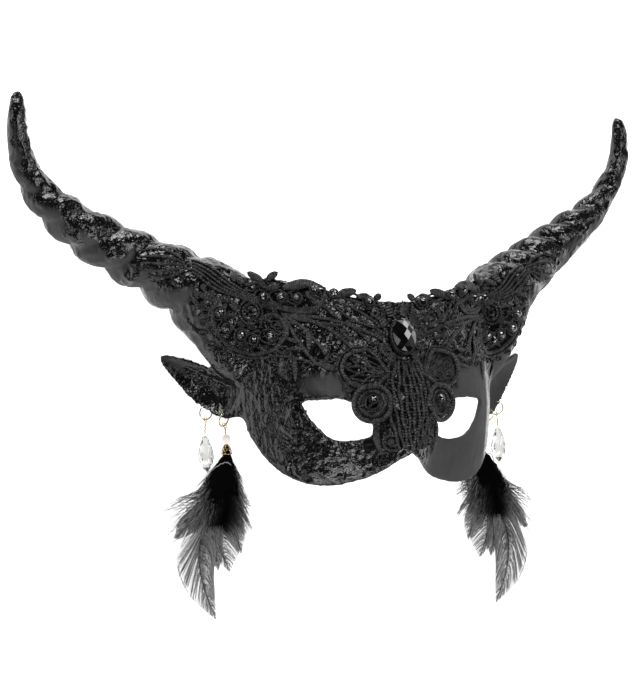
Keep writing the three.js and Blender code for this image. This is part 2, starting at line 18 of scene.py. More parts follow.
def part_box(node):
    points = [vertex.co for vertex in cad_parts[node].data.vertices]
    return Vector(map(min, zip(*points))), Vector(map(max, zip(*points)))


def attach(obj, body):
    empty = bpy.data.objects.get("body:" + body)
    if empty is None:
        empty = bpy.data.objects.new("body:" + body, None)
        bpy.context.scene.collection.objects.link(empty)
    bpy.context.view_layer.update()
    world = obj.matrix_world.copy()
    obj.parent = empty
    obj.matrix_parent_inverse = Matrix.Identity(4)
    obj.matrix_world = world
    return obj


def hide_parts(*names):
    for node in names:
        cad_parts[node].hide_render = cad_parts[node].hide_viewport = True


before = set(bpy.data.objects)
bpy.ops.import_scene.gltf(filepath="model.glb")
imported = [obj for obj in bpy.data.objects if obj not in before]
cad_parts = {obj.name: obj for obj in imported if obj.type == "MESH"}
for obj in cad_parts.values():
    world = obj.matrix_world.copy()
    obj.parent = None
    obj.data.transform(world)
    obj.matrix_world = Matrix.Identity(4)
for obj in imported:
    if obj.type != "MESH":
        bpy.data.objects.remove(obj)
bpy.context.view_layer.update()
SEED = 7
random.seed(SEED)

MM = 0.001
SIDES = (("left", -1), ("right", 1))

# How the mask lies
LYING_TILT = math.radians(12)
GEM_ABOVE_TABLE = 77.5

# Face shell
HALF_WIDTH = 82
SHELL = 3
SIDE_DROP, SIDE_POWER = 44, 3.75
EYE_LEVEL = -38
FOREHEAD_DROP, FOREHEAD_SPAN, FOREHEAD_POWER = 6, 38, 1.4
CHEEK_DROP, CHEEK_SPAN = 8, 46
NOSE_RISE, NOSE_WIDTH, NOSE_TOP, NOSE_LENGTH = 14.6, 18, 18, 82
SHELL_COLUMNS, SHELL_ROWS = 150, 70
TOP_EDGE = ((0, 20), (12, 20.6), (24, 22.6), (38, 26), (50, 29.3), (61, 31.6), (70, 33.5), (82, 34))
CHIN_EDGE = ((0, -65.5), (7, -69.5), (15, -75.8), (24, -80.6), (40, -83.8), (54, -82.3), (64, -77.3),
             (72, -68.5), (77.5, -57.5), (82, -44))
ROOM_LOW, ROOM_HIGH, ROOM_BACK, ROOM_GAP = -100, 70, -160, 0.2
EYE_OUTER_CORNER, EYE_INNER_CORNER = (58.3, -36), (20.5, -55.4)
EYE_UPPER_LID = ((48, -34.6), (38, -34.8), (30, -36.6), (24, -41.5), (20.4, -49))
EYE_LOWER_LID = ((28, -57.6), (36, -57.8), (43, -56.2), (49, -51.8), (54, -45.5))
EYE_CUT = (-40, 30)
LID_STEPS = 60

# Horns: centre line, radius, flatness of the section and given lean, from root to tip
HORN_PLACES = ((66, 0, -46), (76, 6, -50), (88, 15.5, -55), (103, 27, -62), (120, 37.5, -68.4),
               (140, 49, -75.2), (159, 60.5, -78.1), (177, 73.5, -81.2), (191.5, 90, -85),
               (198.5, 107, -84.5), (200, 122, -84), (199, 134, -85))
HORN_RADII = (33, 30, 25, 21.5, 18.3, 15.9, 14, 11.1, 8.3, 6.2, 5.2, 3)
HORN_FLATS = (0.38, 0.5, 0.74, 0.95, 1, 1, 1, 1, 1, 1, 1, 1)
HORN_LEANS = (0, 0, 0, 0, 0.5, 2.4, 4.5, 3.4, 1.3, 0, 0, 0)
HORN_RINGS, HORN_SIDES = 320, 80

# Rope-like ridges of the horns: deeper behind, and below the left horn deeper, below the right shallower
RIDGE_PITCH, RIDGE_STARTS = 21, 2
RIDGE_DEPTH, RIDGE_SHARPNESS = 0.27, 0.9
RIDGE_BEHIND, RIDGE_BELOW, RIDGE_LEAST = 0.5, {-1: 0.25, 1: -0.75}, {-1: 0.55, 1: 0.22}
RIGHT_SLIMMING = 0.15
RIDGES_BEGIN, RIDGES_END, RIDGE_FADE = 0.2, 0.84, 0.12
TIP_ROUNDING, TIP_CAP = 3, 0.45
TANGENT_STEP = 1e-4

# Ears
EAR_ROOT = np.array((87.7, -31.4, -47.3))
EAR_AXIS = np.array((0.675, 0.424, -0.625))
EAR_ACROSS = np.array((-0.265, 0.903, 0.335))
EAR_LENGTH, EAR_TIP_LEAN = 47, 3
EAR_ALONG = (-15, -5, 6, 17, 28, 38, 44, 47)
EAR_UPPER = (9, 10.5, 9.4, 8, 6.4, 4.6, 2.8, 0.7)
EAR_LOWER = (9, 14.5, 15, 13.4, 10, 6.4, 3.6, 0.7)
EAR_CUP, EAR_CUP_HALF, EAR_CUP_FADE = 6.5, 12, 30
EAR_THICKNESS, EAR_EDGE_THINNING = 2.6, 0.5
EAR_BLEND, EAR_RELIEF_HALF = 10, 5
EAR_STEPS, EAR_SPANS = 90, 40
EAR_ROLL, EAR_ROLL_AT, EAR_ROLL_WIDTH = 0.9, 0.74, 0.2
EAR_FURROW, EAR_FURROW_AT, EAR_FURROW_WIDTH = 1.0, 0.42, 0.1

# Moulded surface: its mesh, and the hand-worked wrinkles in it, each with a size and a weight
VOXEL = 0.00108
SOFTEN_ROUNDS = 2
SEAM_REACH, SEAM_ROUNDS = 7, 60
CHIN_REACH, CHIN_LEAST = 6, 0.25
FRONT_FROM, BACK_LEAST = (-0.35, 0.5), 0.3
CALM_FLATNESS = 0.75
LUMP_SIZE, LUMP = (9.5, 9.5, 9.5), 0.75
PATCH_SIZE, PATCH_SHIFT, PATCH_FROM = (24, 24, 24), (40, 0, 0), (-0.25, 0.4)
CREASE_SIZE, CREASE, PATCH_CREASE = (5.2, 6.4, 5.2), 0.2, 0.75
DENT_SIZE, DENT_SHIFT, DENT = (2.6, 2.9, 2.6), (0, 0, 9), 0.3
STREAK_SIZE, STREAK = (1.9, 11, 1.9), 0.3
TEMPLE_FROM, TEMPLE_TO, TEMPLE_UNDER, TEMPLE_CALM = (64, 6), (-96, 10), (-4, 10), 0.8

# Where the lacquer is matt and carries a painted grey sheen, as starts and blends: the right cheek but for a
# strip at its temple, a
#  patch over the left eye, and parts of the undersides of the horns, where the sheen stands in for light from
#  below
CHEEK_ACROSS, CHEEK_DOWN = (11, 7), (8, 6)
STRIP_FROM, STRIP_TO = (62, 6), (-84, 3)
OVER_EYE, OVER_EYE_REACH, OVER_EYE_MATT_AND_SHEEN = (-42, -27), (20, 8), 0.7
HORN_FROM, FACES_DOWN_FROM, PATCHES_FROM, HORN_MATT_AND_SHEEN = (96, 14), (-0.05, 0.5), (-0.22, 0.12), 0.5
MATT_PATCH = 10

# Lacquer: gloss and roughness where it is bare, where glue has dulled it and where it is matt, and the
# painted grey sheen of the matt places
BARE_GLOSS, BARE_ROUGHNESS = 0.5, (0.07, 0.2)
GLUED_GLOSS, GLUED_ROUGHNESS = 0.03, (0.5, 0.8)
MATT_PAINTED_SHEEN, MATT_ROUGHNESS, MATT_ONSET = 0.036, 0.72, 0.5

# Noises, each as scale and detail; ramps, each as places and values; bumps, each as strength and metres
BLACK_NOISE, BLACK_RAMP = (70, 5), ((0.35, 0.001), (0.7, 0.004))
SHINE_NOISE, SHINE_PLACES = (160, 4), (0.3, 0.7)
WRINKLE_NOISE, WRINKLE_BUMP = (330, 3), (1.0, 0.00075)
STREAK_NOISE, STREAK_BUMP = (500, 4, (1, 0.14, 0.14)), (0.5, 0.0002)
CRACKLE_NOISE, CRACKLE_BUMP = (620, 2), (1.0, 0.00024)
CRACKLED_NOISE, CRACKLED_RAMP = (95, 3), ((0.42, 0.15), (0.6, 1.0))
SPECK_NOISE, SPECK_RAMP, SPECK_BUMP = (800, 2), ((0.66, 0.0), (0.74, 1.0)), (1.0, 0.0001)
LACE_GLOSS, LACE_NOISE, LACE_RAMP = 0.45, (430, 4), ((0.4, 0.002), (0.64, 0.034))
FIBRE_NOISE, FIBRE_ROUGHNESS, FIBRE_BUMP = (700, 2), ((0.3, 0.38), (0.7, 0.7)), (1.0, 0.0011)
STITCH_BUMP = (1.0, 0.0004)
# A stone's base colour follows its facets' shade: black, or painted highlights and reflections on the gem.
STONE_SHADES, STONE_NOISE, STONE_ROUGHNESS = ((0, 0.001), (1, 1)), (220, 2), ((0.3, 0.04), (0.7, 0.1))
STONE_REFRACTION, GEM_REFRACTION = 1.85, 1.5
FEATHER_FINISH, FEATHER_NOISE = {"Roughness": 0.85, "Specular_IOR_Level": 0.02}, (900, 3)
FEATHER_RAMP = ((0.0, 0.0008), (0.3, 0.02), (1.0, 0.32))
METAL_ROUGHNESS, METAL_BUMP = (1400, 3, (0.3, 0.14), (0.7, 0.3)), (2200, 3, 0.15, 0.0001)
# Finishes: fixed values of the shader, sockets driven by a noise through a ramp, and a fine bump
FINISHES = {
    "crystal": {"fixed": {"Base_Color": (0.64, 0.64, 0.63, 1), "IOR": 1.72, "Transmission_Weight": 1.0},
                "varied": {"Roughness": (300, 2, (0.3, 0.0), (0.7, 0.03))}},
    # The pearl's emission is painted light: a faint glow that brightens it as if more light fell on it.
    "pearl": {"fixed": {"Coat_Weight": 0.7, "Coat_Roughness": 0.08, "Sheen_Weight": 0.3,
                        "Subsurface_Weight": 0.15, "Subsurface_Scale": 0.001,
                        "Emission_Color": (1, 0.86, 0.76, 1), "Emission_Strength": 0.25},
              "varied": {"Base Color": (420, 3, (0.3, (0.93, 0.8, 0.72)), (0.7, (0.97, 0.93, 0.9))),
                         "Roughness": (420, 3, (0.3, 0.16), (0.7, 0.28))}},
    "gold_wire": {"fixed": {"Metallic": 1.0}, "bump": METAL_BUMP,
                  "varied": {"Base Color": (900, 4, (0.3, (0.5, 0.36, 0.15)), (0.75, (0.7, 0.54, 0.28))),
                             "Roughness": METAL_ROUGHNESS}},
    "silver_wire": {"fixed": {"Metallic": 1.0}, "bump": METAL_BUMP,
                    "varied": {"Base Color": (900, 4, (0.3, (0.45, 0.43, 0.38)), (0.75, (0.62, 0.6, 0.55))),
                               "Roughness": METAL_ROUGHNESS}},
}

# Lace: borders of one half, and thread sizes
LACE_UPPER = ((0, 16.5), (24, 19), (50, 25.5), (70, 31), (91, 33), (104, 39), (122, 46), (141, 56))
LACE_LOWER = ((0, -64), (7, -63), (14, -50), (22, -52), (30, -42), (36, -22), (50, -16), (70, -12), (91, 0),
              (104, 15), (122, 30), (141, 45))
CORD, FINE_CORD, BAND = 1.5, 0.95, 2.6
CORD_STEP = 0.9
TWIST_PITCH = 1.7
# Cords, leaves, pads and rings: sides, how far they swell, rise and sink, and their shortest runs
FINE_BELOW, FINE_SIDES, CORD_SIDES, PADDED_SIDES, HUMP_SIDES = 1.6, 6, 8, 10, 12
CORD_TIP, CORD_SEAT, RIB_WIDTH, SMOOTHED_FROM = 0.25, 0.3, 0.3, 4
LEAF_HEIGHT, LEAF_LIFT, LEAF_RIB, LEAF_END, LEAF_SWELL = 1.5, 0.3, 0.45, 0.12, 0.8
OPEN_LEAF_SWELL, FAN_END, FAN_SWELL, ROUND_END = 0.85, 0.45, 0.7, 0.02
PAD_HEIGHT, PAD_LIFT, PAD_RIB, RING_LIFT = 1.6, 0.2, 0.2, 0.2
ARC_LEAST, RING_LEAST, SCROLL_LEAST, SCROLL_MEAN, SCROLL_PAD = 6, 10, 12, 0.65, 0.55
RAY_HEIGHT, FRONT_GAP, FACE_EDGE = 60, 3, 76
FIRST_HEIGHT, LEAST_FACING = -40.0, 0.15
SCROLL_EYE = 0.22

# The motifs of one half of the lace, drawn on the viewer's right, from the horn to the nose
HOOK, HOOK_SCROLL, HOOK_CORD = (111, 40.5), (3.4, 0, 1.2), 1.3
FAN_TIPS = ((135.5, 48), (137, 44.8), (136.5, 41.6), (135, 38.4), (132.5, 35.4))
FAN_ROOT, FAN_SPREAD, FAN_BOW, FAN_CORD = (1.5, 1.6), 0.8, 0.16, (1.9, 1.3)
LONG_CORDS, LONG_CORD = 5, 1.6
LONG_CORDS_TOP = ((108, 43), (97.8, 38.2), (88.5, 30), (77.4, 23.8), (68.5, 20.3), (63, 17.5))
LONG_CORDS_BOTTOM = ((110, 36.5), (103.3, 30.4), (95.4, 25.4), (85, 22), (74.2, 18.6), (65.6, 15.4))
SWOOP = ((66, 16.6), (60, 14.4), (52, 13.5), (46.8, 15.2), (43.1, 20.3), (42.5, 24.5))
SWOOP_SHIFTS, SWOOP_WAY, SWOOP_START, SWOOP_CORD = (0, 1.9, 3.8), (-0.25, 0.95), 0.4, 1.7
PAISLEY = ((96.5, 22), (99.8, 16.3), (100.1, 9.6), (97.5, 2.9), (90.7, -4.6), (81.3, -8.8), (72.8, -9.2),
           (66.8, -5.6), (63, 0.6), (62.8, 6.8), (66.5, 12.4), (72, 10.5), (73, 7))
PAISLEY_RISE, PAISLEY_LINING, PAISLEY_LINING_CORD = 1.7, (0.955, (3.6, 0.35)), 1.3
PAISLEY_INNER = ((93.5, 19), (94.6, 13), (91.5, 7), (86, 3.4), (79, 2.2), (73.5, 4))
PAISLEY_INNER_CORD = 1.5
INNER_FLOWER, FLOWER_RINGS = (78.5, 14.2), (6.9, 4.7)
FLOWER_PADS, FLOWER_REACH, FLOWER_PAD = 6, 2.1, (1.7, 2.3)
STEM_ROOT = (63, 12.5)
STEM_ENDS = ((33, 6.5, 0.05), (11, -2, -0.06), (29, -8, -0.1), (45, -10, -0.06), (50, -15.5, 0.04))
STEM_CORD = (2.2, 1.9)
LONG_PETALS = ((38, 19.8, 10.6, 5.6, 6.4, 0.04), (32, 8.6, 13, 4, 4.6, 0.05), (36, 24, 15, 18, 4.4, -0.05))
GEM_PETALS = ((9.8, 8.6, 0.75), (12.6, 1.4, 0.1), (11.6, -6, -0.5), (7.4, -11.6, -1.0), (4.4, 14, 1.25))
GEM_PETAL, GEM_PETAL_RISE = (5.4, 7.4), 1.8
WING, WING_RADIUS, WING_ROOT = (25, -18), 12, (11, -21)
WING_SQUASH = 0.86
WING_DEGREES = range(120, -121, -20)
WING_VEINS, WING_VEIN_GAP, WING_VEIN_WIDTH = (-80, -35, 5, 45, 90), 1.6, 5.6
WING_CORDS = ((12, 2.5, 0.9), (14.4, 1.4, 0))
LOW_SCROLL = (21.6, -37)
LOW_SCROLL_RINGS = ((10, 2.9, 0.9), (8.2, 1.6, 0), (6.6, 2.3, 0.5), (5, 1.6, 0), (3.6, 1.5, 0))
SMALL_SCROLL, SMALL_SCROLL_TURN, SMALL_SCROLL_CORD = (11.3, -58.5), (5.2, -0.8, 1.5), 1.6
SIDE_LEAVES = (((18, -47), (15, -66), 4.2, 0.12), ((33, -23), (37, -29.5), 3, 0))
TOP_LEAVES = (((69.5, 31), (74.6, 36.6), 4.6), ((68.6, 31.4), (62.8, 36.4), 4.6), ((69, 27), (62.5, 28.5), 4),
              ((36, 23.2), (23.6, 26), 5.4), ((13, 20.5), (8.6, 24), 4.2), ((33, 22), (41, 25), 4.2),
              ((24, 21.5), (16, 23.4), 4.2), ((88, 31), (83.6, 36.4), 4.2), ((85, 30), (78, 32.6), 4))
TOP_LEAF_RISE, TOP_LEAF_RIB, TOP_LIFT = 2.4, 0.3, 0.6
HUMP, HUMP_WIDTH, HUMP_RISE, HUMP_RIB = ((62, 26.5), (42, 26.5), -0.13), 6.6, 3.4, 0.25
STONE_RINGS = ((97, 13.5), (93.5, 5), (84.5, 1), (78, -2), (70, 0.5), (71.5, 22.5), (64, 22.5), (57, 22),
               (17, 19.5))
STONE_RING, STONE_RING_CORD, STONE_RING_LIFT = 7.4, 1.2, 0.5
OUTER_PICOTS = ((104, 14), (104.5, 8), (103.5, 2.5), (99, -4), (93, -9), (85.5, -12.5), (77, -13.6),
                (69, -12.5), (62, -13.8), (55, -15.6))
PICOT, PICOT_EDGE, PICOT_EDGE_CORD = (3.2, 3.6), (-2.2, 1.8), 1.5
EDGE_LEAVES, EDGE_LEAF_RUN, EDGE_LEAF, EDGE_LEAF_BEND = ((53.5, -6), (60.5, -21)), (9, -4), 3.2, 0.05
PEPLUM_CORDS = ((0, 0, 0, 0), (1.9, 3.3, 3, 1.5), (3.9, 6.6, 6, 3.3), (6, 10, 9, 5.2), (8.4, 13.4, 12, 7.2))
PEPLUM_LEVELS = (-13, -29, -46, -63)
PEPLUM_CORD, PEPLUM_WAVE, PEPLUM_WAVE_PITCH = (1.9, 2), 0.4, 2.3
PEPLUM_BARS, BAR_RUN, BAR_RISE, BAR_BEND = range(-60, -14, 5), 2, 0.9, -0.16
BAR_REACH, BAR_NARROWS, BAR_NARROWS_FROM = 12.6, 6.5, (40, 24)

# Filler between the motifs, and the bare lacquer that glints through it
LACE_REACH = 108
GLUE_EDGE, GLINT_SIZE, GLINT_LEVEL, BARE_STEMS = 1, 4.5, -0.04, (58, -8)
FILLER_PITCH, FILLER_SCATTER = 3.3, 1.2
FILLER_GAP, FILLER_LARGEST = 1.5, 2.8
STEMS_ACROSS, STEMS_DOWN, STEMS_SPARED = (13, 58), (-11, 19), 0.8
EYES_FROM, EYES_UNDER = 13, -45
GEM_CLEARANCE, GEM_CLEARANCE_SQUASH = 8.5, 0.75
FILLER_CENTRE, FILLER_TURN, FILLER_BEND, FILLER_BAR = 12, 0.6, 0.2, 0.8
RINGLETS, RINGLET = 0.3, (1.5, 1.7)
LEAFLETS, LEAFLET_HALF, LEAFLET, LEAFLET_LIFT = 0.85, (1.4, 1.9), (2.5, 1.6), 0.1
KNOT, KNOT_RISE = (1.5, 1.5), 1.3

# Stones: sizes, the small stones' rings as (scale, level, phase), and the gem's lattice of kites
STONES_A_SIDE, STONE_SIZE, STONE_SIDES, STONE_SOCKET_DEPTH = 12, 4.2, 8, 3.0
STONE_LEVELS = ((0.6, 0.0, 0), (1.0, 0.2, 0), (1.0, 0.3, 0), (0.86, 0.62, 0.5), (0.62, 0.84, 0),
                (0.3, 0.97, 0.5))
GEM_SIZE, GEM_SOCKET, GEM_SOCKET_DEPTH, GEM_GIRDLE = (13.6, 20.8), (13.4, 20.4), 3.2, 0.34
KITE, KITE_OFFSET, GEM_SEED, GEM_TILT = 0.31, (0.3, -0.4), 166, 0.3
# The gem's facets with painted highlights, painted glints and painted grey reflections in their base colour,
# by column and row from its middle; the rest stay black.
PAINTED_HIGHLIGHT_KITES, PAINTED_GLINT_KITES = ((0, 2), (0, 0)), ((-3, -1),)
PAINTED_REFLECTION_KITES = ((1, 1), (2, 0), (1, -1), (2, 2), (2, -2), (3, 1), (3, -1), (-1, -3))
PAINTED_HIGHLIGHT_SHADE, PAINTED_GLINT_SHADE, PAINTED_REFLECTION_SHADE = 0.38, 0.12, 0.03
SOCKET_PROFILE = ((-0.35, -0.1), (-0.15, 0.5), (0.15, 0.7), (0.5, 0.6), (0.8, 0.2))
SOCKET_BACK, SOCKET_STEPS, SOCKET_PITCH, SOCKET_KNOT, KNOT_STEPS = (1.0, -0.35), 28, 0.45, 0.05, 3
GEM_STEPS, GEM_BACK, GEM_EDGE, GEM_RIM = 48, 0.7, 0.5, 0.96

# Earrings, on the table
PEARL_LEFT = np.array((-82.4, -44.4, 7.2))
WIRE, RING_DIAMETER, TOUCH = 0.9, 9, 0.3
SILVER_HOLE, GOLD_HOLE = (9, -12.7, -2.5), (-2, -12.4, -3)
BAIL, EYE_PIN = {"loop": 3.4, "wire": 0.7}, {"loop": 3.6, "wire": 0.7}
PEARL_DIAMETER = 5.4
CRYSTAL_LEVELS = ((0.5, 0.4), (1.6, 1), (3.9, 6.8), (4.75, 12.2), (3.7, 16.6), (0.3, 21.4))
CRYSTAL_SIDES = 8
CAP_PROFILE = ((0.9, 0.2), (1.5, 1), (2.2, 2.2), (2.7, 3.6), (3, 4.8), (3.15, 5.8))
EARRINGS = {
    "left": {"silver_faces": (0.11, -0.385, 0.916), "gold_faces": (0.445, -0.442, 0.78),
             "crystal_top": (-95.3, -42, 6.6), "crystal_end": (-94.3, -63.2, 3.2),
             "pearl": PEARL_LEFT, "bundle_top": (-82, -53.2, 5.4), "swing": 0},
    "right": {"silver_faces": (-0.454, -0.185, 0.87), "gold_faces": (-0.445, -0.442, 0.78),
              "crystal_top": (98.4, -40.4, 6.6), "crystal_end": (98.8, -61.6, 3.2),
              "pearl": (83, -42.4, 7.2), "bundle_top": (82.4, -51.2, 5.4), "swing": math.radians(5.5)},
}
ASIDE = (0.2, 0.9, 0.39)
LOOP_STEPS, RING_STEPS = 40, 56
SHANK_WIRE, COIL_WIRE, COIL_REACH, COIL_TURNS, COIL_STEPS = 0.26, 0.2, 0.4, 3, 16
PEARL_HOLE, PEARL_RINGS, PEARL_SIDES, PEARL_WAVE, PEARL_DIMPLE = 0.14, 28, 40, 0.015, 0.72
CAP_RIM_WIRE, CAP_WIRE, CAP_PETALS, CAP_SWAY = 0.22, 0.19, 6, 0.52
QUILLS_ALONG, QUILLS_RADIUS, QUILL_STEPS = (0.6, 9.5), (1.1, 3.2), 8
SKEW = (0.3, 0.5, 0.81)
SHANK_STEPS, COIL_STARTS, COIL_SHARE = 6, 0.1, 0.8
PEARL_WAVES, PEARL_LIP = 3, 0.9
CAP_INSET, CAP_RIM_STEPS, CAP_PETAL_STEPS, CAP_TURNS = 0.1, 40, 26, 1.9 * math.pi
THIN_SIDES, QUILL_SIDES = 8, 16

BUNDLE_SEED = 5
# Feathers, in a bundle's own directions: outwards, down the table, and height. A core station also
# has its half width and half thickness; a feather has its shaft and the edges of its vane.
CORE = ((0, 0.5, 5.4, 2.6, 2.4), (1.6, 4, 6, 5, 4.2), (3.6, 9, 6.6, 7.4, 5.6), (6, 18, 8, 10.6, 7.2),
        (8, 27, 8, 12.4, 7.2), (10, 34, 7, 10.4, 6), (11.6, 41, 5.4, 4.4, 3))
CORE_RINGS, CORE_SIDES, CORE_RUFFLE, RUFFLE_ROUND, RUFFLE_DOWN = 46, 28, 0.16, 3, 0.45
CORE_SLIMMING, LOWEST_CORE, LOWEST_BARB = 0.86, 0.4, 0.3
FEATHERS = (
    {"shaft": ((10, 28, 6), (14.6, 36, 4.6), (19.6, 46, 4), (22, 57, 3.5), (21.4, 70, 2.8), (17.8, 83, 2),
               (13.9, 93, 1.5)),
     "outer": ((12, 28, 6), (22.6, 42.5, 4), (30.5, 49.5, 3.5), (35.8, 57, 3), (35.4, 66, 2.5), (31, 77, 2),
               (21.5, 87, 1.5), (14, 93.4, 1.3)),
     "inner": ((8, 29, 6), (11.8, 40, 4), (12.9, 48.4, 3.5), (13.4, 60, 3), (13.6, 72, 2.4), (13.4, 82.3, 2),
               (13.7, 93, 1.3))},
    {"shaft": ((8, 28, 6), (11, 40, 4.4), (8.4, 52, 3), (3.2, 66.5, 2)),
     "outer": ((11, 28, 6), (15, 40, 4.4), (13.4, 51, 3.2), (10, 59, 2.6), (3.4, 67, 1.8)),
     "inner": ((4, 28, 6), (1, 38, 4.4), (-3.6, 48, 3.2), (-3.4, 57, 2.6), (3, 67, 1.8))},
    {"shaft": ((9, 28, 7), (12.6, 41, 5.2), (12.3, 53, 3.8), (10.4, 65.5, 2.6)),
     "outer": ((12, 28, 7), (17.5, 40, 5.2), (18, 51, 4), (15, 59, 3.2), (10.6, 66, 2.4)),
     "inner": ((6, 28, 7), (8, 40, 5.2), (7, 50, 4), (7.4, 59, 3.2), (10.2, 66, 2.4))},
    {"shaft": ((3, 26, 7), (0.6, 38, 5), (-2.4, 48, 3.6), (-5, 56, 2.6)),
     "outer": ((6, 26, 7), (6, 38, 5), (3.4, 48, 3.6), (-4.6, 57, 2.4)),
     "inner": ((0, 26, 7), (-4.6, 36, 5), (-7.4, 45, 3.6), (-5.4, 57, 2.4))},
    {"shaft": ((14, 26, 7), (20, 33, 5.4), (28, 40, 4), (35.5, 46.5, 3)),
     "outer": ((16, 24, 7), (25, 30, 5.4), (33, 37.5, 4), (36.4, 46.5, 3)),
     "inner": ((12, 29, 7), (18, 37, 5.4), (26, 44.5, 4), (34.6, 47.5, 3))},
)
BARB_PITCH, BARB_WIDTH, BARB_TIP, BARB_STEPS = 0.14, 0.2, 0.4, 7
BARB_LEAD, BARB_LAST, BARB_BOW, BARB_BOWS, BARB_LIFT = 0.46, 0.999, 0.22, (0.86, 1.03), 0.1
VANE_WAVE, VANE_WAVE_STEP, VANE_EDGES_APART, VANE_RAGGED = 0.035, 0.05, 7, 0.014
DARK_BARBS, DARK_SHADES, PALE_SHADES, BARB_ROOT_SHADE = 0.12, (0.1, 0.3), (0.6, 1.15), 0.7
SHAFT_RADIUS, SHAFT_SIDES, SHAFT_SHADE = (0.34, 0.1), 6, 0.05
# Strands along a feather's edge: where and how far they run, and how far in from the edge they lie
EDGE_STRANDS, EDGE_STEPS, EDGE_BEGIN, EDGE_RUN, EDGE_LAST = 7, 12, (0.1, 0.6), (0.2, 0.45), 0.99
EDGE_INSET, EDGE_SPREAD, EDGE_WIDTH, EDGE_SHADES = 0.04, 0.7, 0.24, (0.2, 0.35)
# Fluff: strands by their place in the core; in a pair, the first is for its inner side
FLUFF_STRANDS, FLUFF_STEPS, FLUFF_ALONG, FLUFF_TURN = 3600, 6, (0.02, 0.95), (-0.25, 1.25)
FLUFF_ROOT, FLUFF_LONGEST, FLUFF_SLANT = (0.5, 0.6), (6, 15), ((0.8, 1.7), (0.45, 1.0))
FLUFF_TIP, FLUFF_TIP_POWER, FLUFF_SHORT, FLUFF_SHORT_POWER = 1.15, 0.7, 2, 1.6
FLUFF_RUN, FLUFF_FLATTENS, FLUFF_SINKS, FLUFF_SAG = 3, 0.5, 0.04, 0.3
FLUFF_DROOPS, FLUFF_DROOP, FLUFF_WIDTHS, FLUFF_SHADES = (0.5, 2), 0.4, (0.14, 0.28), (0.2, 1.6)
FLUFF_SHADE_POWER = 1.5
WISPS = ((41, 31, 3), (41.4, 37, 3), (40.6, 43.4, 3), (39, 51.4, 3), (38, 28.4, 4), (33, 25, 5),
         (-14.1, 31, 3.6), (-12.7, 26.4, 4), (-10.5, 40.6, 3), (-12.7, 43.6, 3), (36, 47, 3), (31, 50, 3))
WISP_STRANDS, WISP_STEPS, WISP_SPREAD, WISP_ROOT = 15, 10, (2, 2.2), ((6, 4), (16, 32), 7.5)
WISP_SAG, WISP_WIDTHS, WISP_SHADES = (0.05, -3, 1.5, 0.4), (0.16, 0.34), (0.0, 0.8)
# Binding thread: its start and run outwards and down, its turns, and its height over the quills
TIE_STEPS, TIE_THREAD, TIE_SIDES, TIE_SHADE = 30, 0.24, 6, 2.2
TIE_OUT, TIE_DOWN, TIE_RIPPLE, TIE_HEIGHT = (11, 13), (9, 3.2), (0.25, 40), (7.4, 5.8)

# Photograph's view, in the mask's frame
CAMERA_AZIMUTH, CAMERA_ELEVATION = math.radians(27), math.radians(0.5)
CAMERA_DISTANCE = 1500
CAMERA_TARGET = np.array((-52.6, -7.1, 0))
FOCAL_PIXELS, IMAGE_HEIGHT, SENSOR = 2700, 700, 36
FLOOR_SIZE, FLOOR_GLOW, WORLD_LIGHT = 14, 0.95, 0.05
FLOOR_COLOUR, FLOOR_ROUGHNESS, WHITE = (0.9, 0.9, 0.9, 1), 0.9, (1, 1, 1, 1)
# Softboxes: place, size and power, all turned to the mask
SOFTBOXES = {
    "top_softbox": ((-0.35, 1.65, 0.95), (1.6, 0.6), 38),
    "right_softbox": ((1.6, 0.5, 1.2), (0.5, 0.5), 5),
    "overhead_softbox": ((0.75, -0.1, 1.75), (1.3, 1.3), 2.2),
    "small_softbox": ((0.2, 0.0, 1.8), (0.66, 0.66), 9.5),
    "left_softbox": ((-1.6, -0.38, 0.98), (0.4, 0.6), 3),
    "low_softbox": ((0.1, -1.5, 1.3), (1.0, 0.35), 9),
    "low_fill": ((-0.1, -1.8, 0.95), (1.8, 0.8), 11),
}


def ease(value):
    value = np.clip(value, 0, 1)
    return value * value * (3 - 2 * value)


def past(value, start, blend):
    """Rises smoothly from 0 at start to 1 at start plus blend."""
    return ease((value - start) / blend)


def unit(vector):
    vector = np.asarray(vector, float)
    return vector / np.linalg.norm(vector, axis=-1, keepdims=True)


def smooth_through(table, position):
    """A smooth curve through a table of (position, value) pairs."""
    places, values = np.array(table, float).T
    last = len(places) - 1
    i = np.clip(np.searchsorted(places, position) - 1, 0, last - 1)
    before, after = np.maximum(i - 1, 0), np.minimum(i + 2, last)
    span = places[i + 1] - places[i]
    slope_in = (values[i + 1] - values[before]) / (places[i + 1] - places[before])
    slope_out = (values[after] - values[i]) / (places[after] - places[i])
    t = np.clip((position - places[i]) / span, 0, 1)
    stay = 2 * t**3 - 3 * t**2 + 1
    bend = (t**3 - 2 * t**2 + t) * slope_in + (t**3 - t**2) * slope_out
    return stay * values[i] + (1 - stay) * values[i + 1] + span * bend


def cubic(start, end, leaving, arriving, w):
    """A curve between two points with given slopes at them, at a share w of the way."""
    square = 3 * (end - start) - 2 * leaving - arriving
    cube = 2 * (start - end) + leaving + arriving
    return start + leaving * w + square * w**2 + cube * w**3


def tilted(points, angle):
    x, y, z = np.asarray(points, float).reshape(-1, 3).T
    c, s = math.cos(angle), math.sin(angle)
    return np.stack((x, y * c - z * s, y * s + z * c), 1)


def on_table(points):
    """Places in the mask's frame, turned to metres as the mask lies on the table."""
    return (tilted(points, LYING_TILT) + (0, 0, GEM_ABOVE_TABLE) + PART_SHIFT) * MM


def in_mask(points):
    """The other way: metres on the table, turned to places in the mask's frame."""
    places = np.asarray(points, float).reshape(-1, 3) / MM - PART_SHIFT
    return tilted(places - (0, 0, GEM_ABOVE_TABLE), -LYING_TILT)


def turned_to_table(directions):
    return on_table(directions) / MM - on_table((0, 0, 0)) / MM


